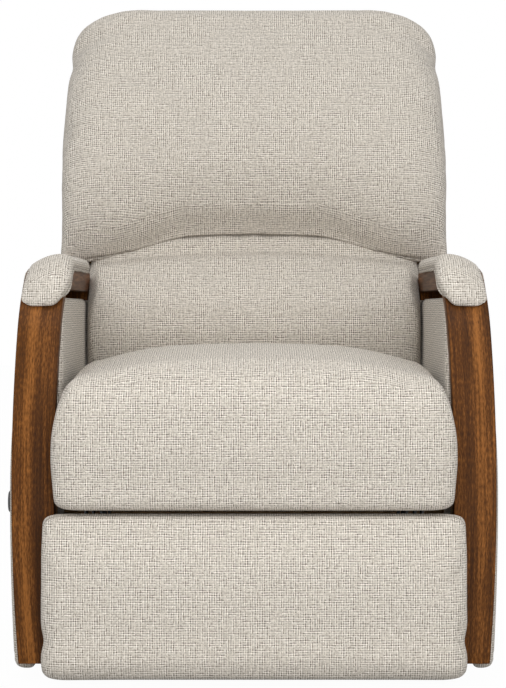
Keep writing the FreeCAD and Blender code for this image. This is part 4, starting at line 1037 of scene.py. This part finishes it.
class RECLINER_OT_webbing(bpy.types.Operator):
    """Elastic straps across the back frame"""
    bl_idname = "recliner.webbing"
    bl_label = "Back webbing"

    def execute(self, context):
        half_length, half_width, face, sag = 0.244, 0.025, -0.021, 0.003
        heights = (0.070, 0.150, 0.345, 0.425, 0.505)
        straps = []
        for height in heights:
            bpy.ops.object.select_all(action="DESELECT")
            bpy.ops.mesh.primitive_grid_add(x_subdivisions=24, y_subdivisions=4, size=2.0)
            strap = context.object
            grid = positions(strap)
            local = np.stack((grid[:, 0] * half_length, face + sag * (1.0 - grid[:, 0] ** 2),
                              grid[:, 1] * half_width + height), axis=1)
            set_positions(strap, from_back(local))
            apply_modifier(strap, "SOLIDIFY", thickness=0.0018, offset=0.0)
            straps.append(strap)
        webbing = join(straps, "back_straps")
        lay_cloth(webbing, BACK_AXES)
        webbing.data.materials.append(finish_of("webbing"))
        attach(webbing, "back")
        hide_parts("back_webbing")
        return {"FINISHED"}


# The studio

def area_light(name, place, aim, width, power):
    """A large soft lamp that looks at a point"""
    lamp = bpy.data.lights.new(name, "AREA")
    lamp.energy = power
    lamp.size = width
    holder = bpy.data.objects.new(name, lamp)
    holder.location = place
    holder.rotation_euler = (Vector(aim) - Vector(place)).to_track_quat("-Z", "Y").to_euler()
    bpy.context.scene.collection.objects.link(holder)


def seen_directly(tree):
    """1 for rays that show the background itself, directly or in a reflection"""
    path = tree.nodes.new("ShaderNodeLightPath")
    seen = calculate(tree, "MAXIMUM", path.outputs["Is Camera Ray"], path.outputs["Is Glossy Ray"])
    return calculate(tree, "MAXIMUM", seen, path.outputs["Is Transmission Ray"])


def make_floor_finish():
    """A pale floor that is almost white where nothing shades it"""
    material = bpy.data.materials.new("studio_floor")
    material.use_nodes = True
    tree = material.node_tree
    tree.nodes.clear()
    output = tree.nodes.new("ShaderNodeOutputMaterial")
    matt = tree.nodes.new("ShaderNodeBsdfDiffuse")
    grey, pale = (0.55, 0.55, 0.55, 1.0), (0.95, 0.95, 0.95, 1.0)
    feed(tree, mix_colour(tree, "MIX", seen_directly(tree), grey, pale), matt.inputs["Color"])
    glow = tree.nodes.new("ShaderNodeEmission")
    glow.inputs["Strength"].default_value = 1.0
    both = tree.nodes.new("ShaderNodeMixShader")
    feed(tree, calculate(tree, "MULTIPLY", seen_directly(tree), 0.975), both.inputs["Fac"])
    tree.links.new(matt.outputs["BSDF"], both.inputs[1])
    tree.links.new(glow.outputs["Emission"], both.inputs[2])
    tree.links.new(both.outputs["Shader"], output.inputs["Surface"])
    return material


def make_world(ambient):
    """White behind everything, and softer light from all round"""
    world = bpy.data.worlds.new("studio_world")
    world.use_nodes = True
    tree = world.node_tree
    background = tree.nodes["Background"]
    background.inputs["Color"].default_value = (1.0, 1.0, 1.0, 1.0)
    direction = tree.nodes.new("ShaderNodeSeparateXYZ")
    feed(tree, tree.nodes.new("ShaderNodeTexCoord").outputs["Generated"], direction.inputs[0])
    sky = tree.nodes.new("ShaderNodeMapRange")
    feed(tree, direction.outputs["Z"], sky.inputs["Value"])
    sky.inputs["From Min"].default_value = -0.3
    sky.inputs["From Max"].default_value = 0.8
    sky.inputs["To Min"].default_value = 0.10 * ambient
    sky.inputs["To Max"].default_value = ambient
    strength = calculate(tree, "MAXIMUM", sky.outputs["Result"], seen_directly(tree))
    feed(tree, strength, background.inputs["Strength"])
    return world


class RECLINER_OT_studio(bpy.types.Operator):
    """Pale floor, soft light and the camera"""
    bl_idname = "recliner.studio"
    bl_label = "Studio"

    def execute(self, context):
        studio = context.scene.recliner_studio
        context.scene.view_settings.view_transform = "Standard"
        bpy.ops.object.select_all(action="DESELECT")
        bpy.ops.mesh.primitive_plane_add(size=40.0)
        floor = context.object
        floor.name = "studio_floor"
        floor.data.materials.append(make_floor_finish())
        context.scene.world = make_world(studio.ambient)
        key_place, key_aim = (-0.5, -3.5, 2.4), (0.0, -0.1, 0.55)
        fill_place, fill_aim = (0.9, -3.8, 0.75), (0.0, -0.2, 0.5)
        lamp_width = 2.4
        area_light("key_light", key_place, key_aim, lamp_width, studio.key_power)
        area_light("fill_light", fill_place, fill_aim, lamp_width, studio.fill_power)
        lens = bpy.data.cameras.new("photo_camera")
        lens.lens = studio.lens
        lens.sensor_width = 36.0
        lens.shift_x = studio.shift_across
        lens.shift_y = studio.shift_up
        camera = bpy.data.objects.new("photo_camera", lens)
        camera.location = studio.camera_place
        camera.rotation_euler = (math.pi / 2, 0.0, 0.0)
        context.scene.collection.objects.link(camera)
        context.scene.camera = camera
        return {"FINISHED"}


class RECLINER_PT_panel(bpy.types.Panel):
    """The recliner's sizes, finishes and building steps"""
    bl_idname = "RECLINER_PT_panel"
    bl_label = "Recliner"
    bl_space_type = "VIEW_3D"
    bl_region_type = "UI"
    bl_category = "Recliner"

    def draw(self, context):
        for operator in OPERATORS:
            self.layout.operator(operator.bl_idname)
        for name in GROUPS:
            group = getattr(context.scene, name)
            box = self.layout.box()
            for value in group.__annotations__:
                box.prop(group, value)


GROUPS = {
    "recliner_padding": ReclinerPadding,
    "recliner_arms": ReclinerArms,
    "recliner_finishes": ReclinerFinishes,
    "recliner_studio": ReclinerStudio,
}
OPERATORS = (
    RECLINER_OT_finishes, RECLINER_OT_cushions, RECLINER_OT_arm_pads, RECLINER_OT_covers,
    RECLINER_OT_wooden_arms, RECLINER_OT_webbing, RECLINER_OT_studio,
)


def register():
    for kind in (*GROUPS.values(), *OPERATORS, RECLINER_PT_panel):
        bpy.utils.register_class(kind)
    for name, group in GROUPS.items():
        setattr(bpy.types.Scene, name, PointerProperty(type=group))


def unregister():
    for name in GROUPS:
        delattr(bpy.types.Scene, name)
    for kind in reversed((*GROUPS.values(), *OPERATORS, RECLINER_PT_panel)):
        bpy.utils.unregister_class(kind)


def main():
    """Builds the recliner"""
    register()
    bpy.ops.recliner.studio()
    bpy.ops.recliner.finishes()
    bpy.ops.recliner.cushions()
    bpy.ops.recliner.arm_pads()
    bpy.ops.recliner.covers()
    bpy.ops.recliner.wooden_arms()
    bpy.ops.recliner.webbing()


if __name__ == "__main__":
    main()
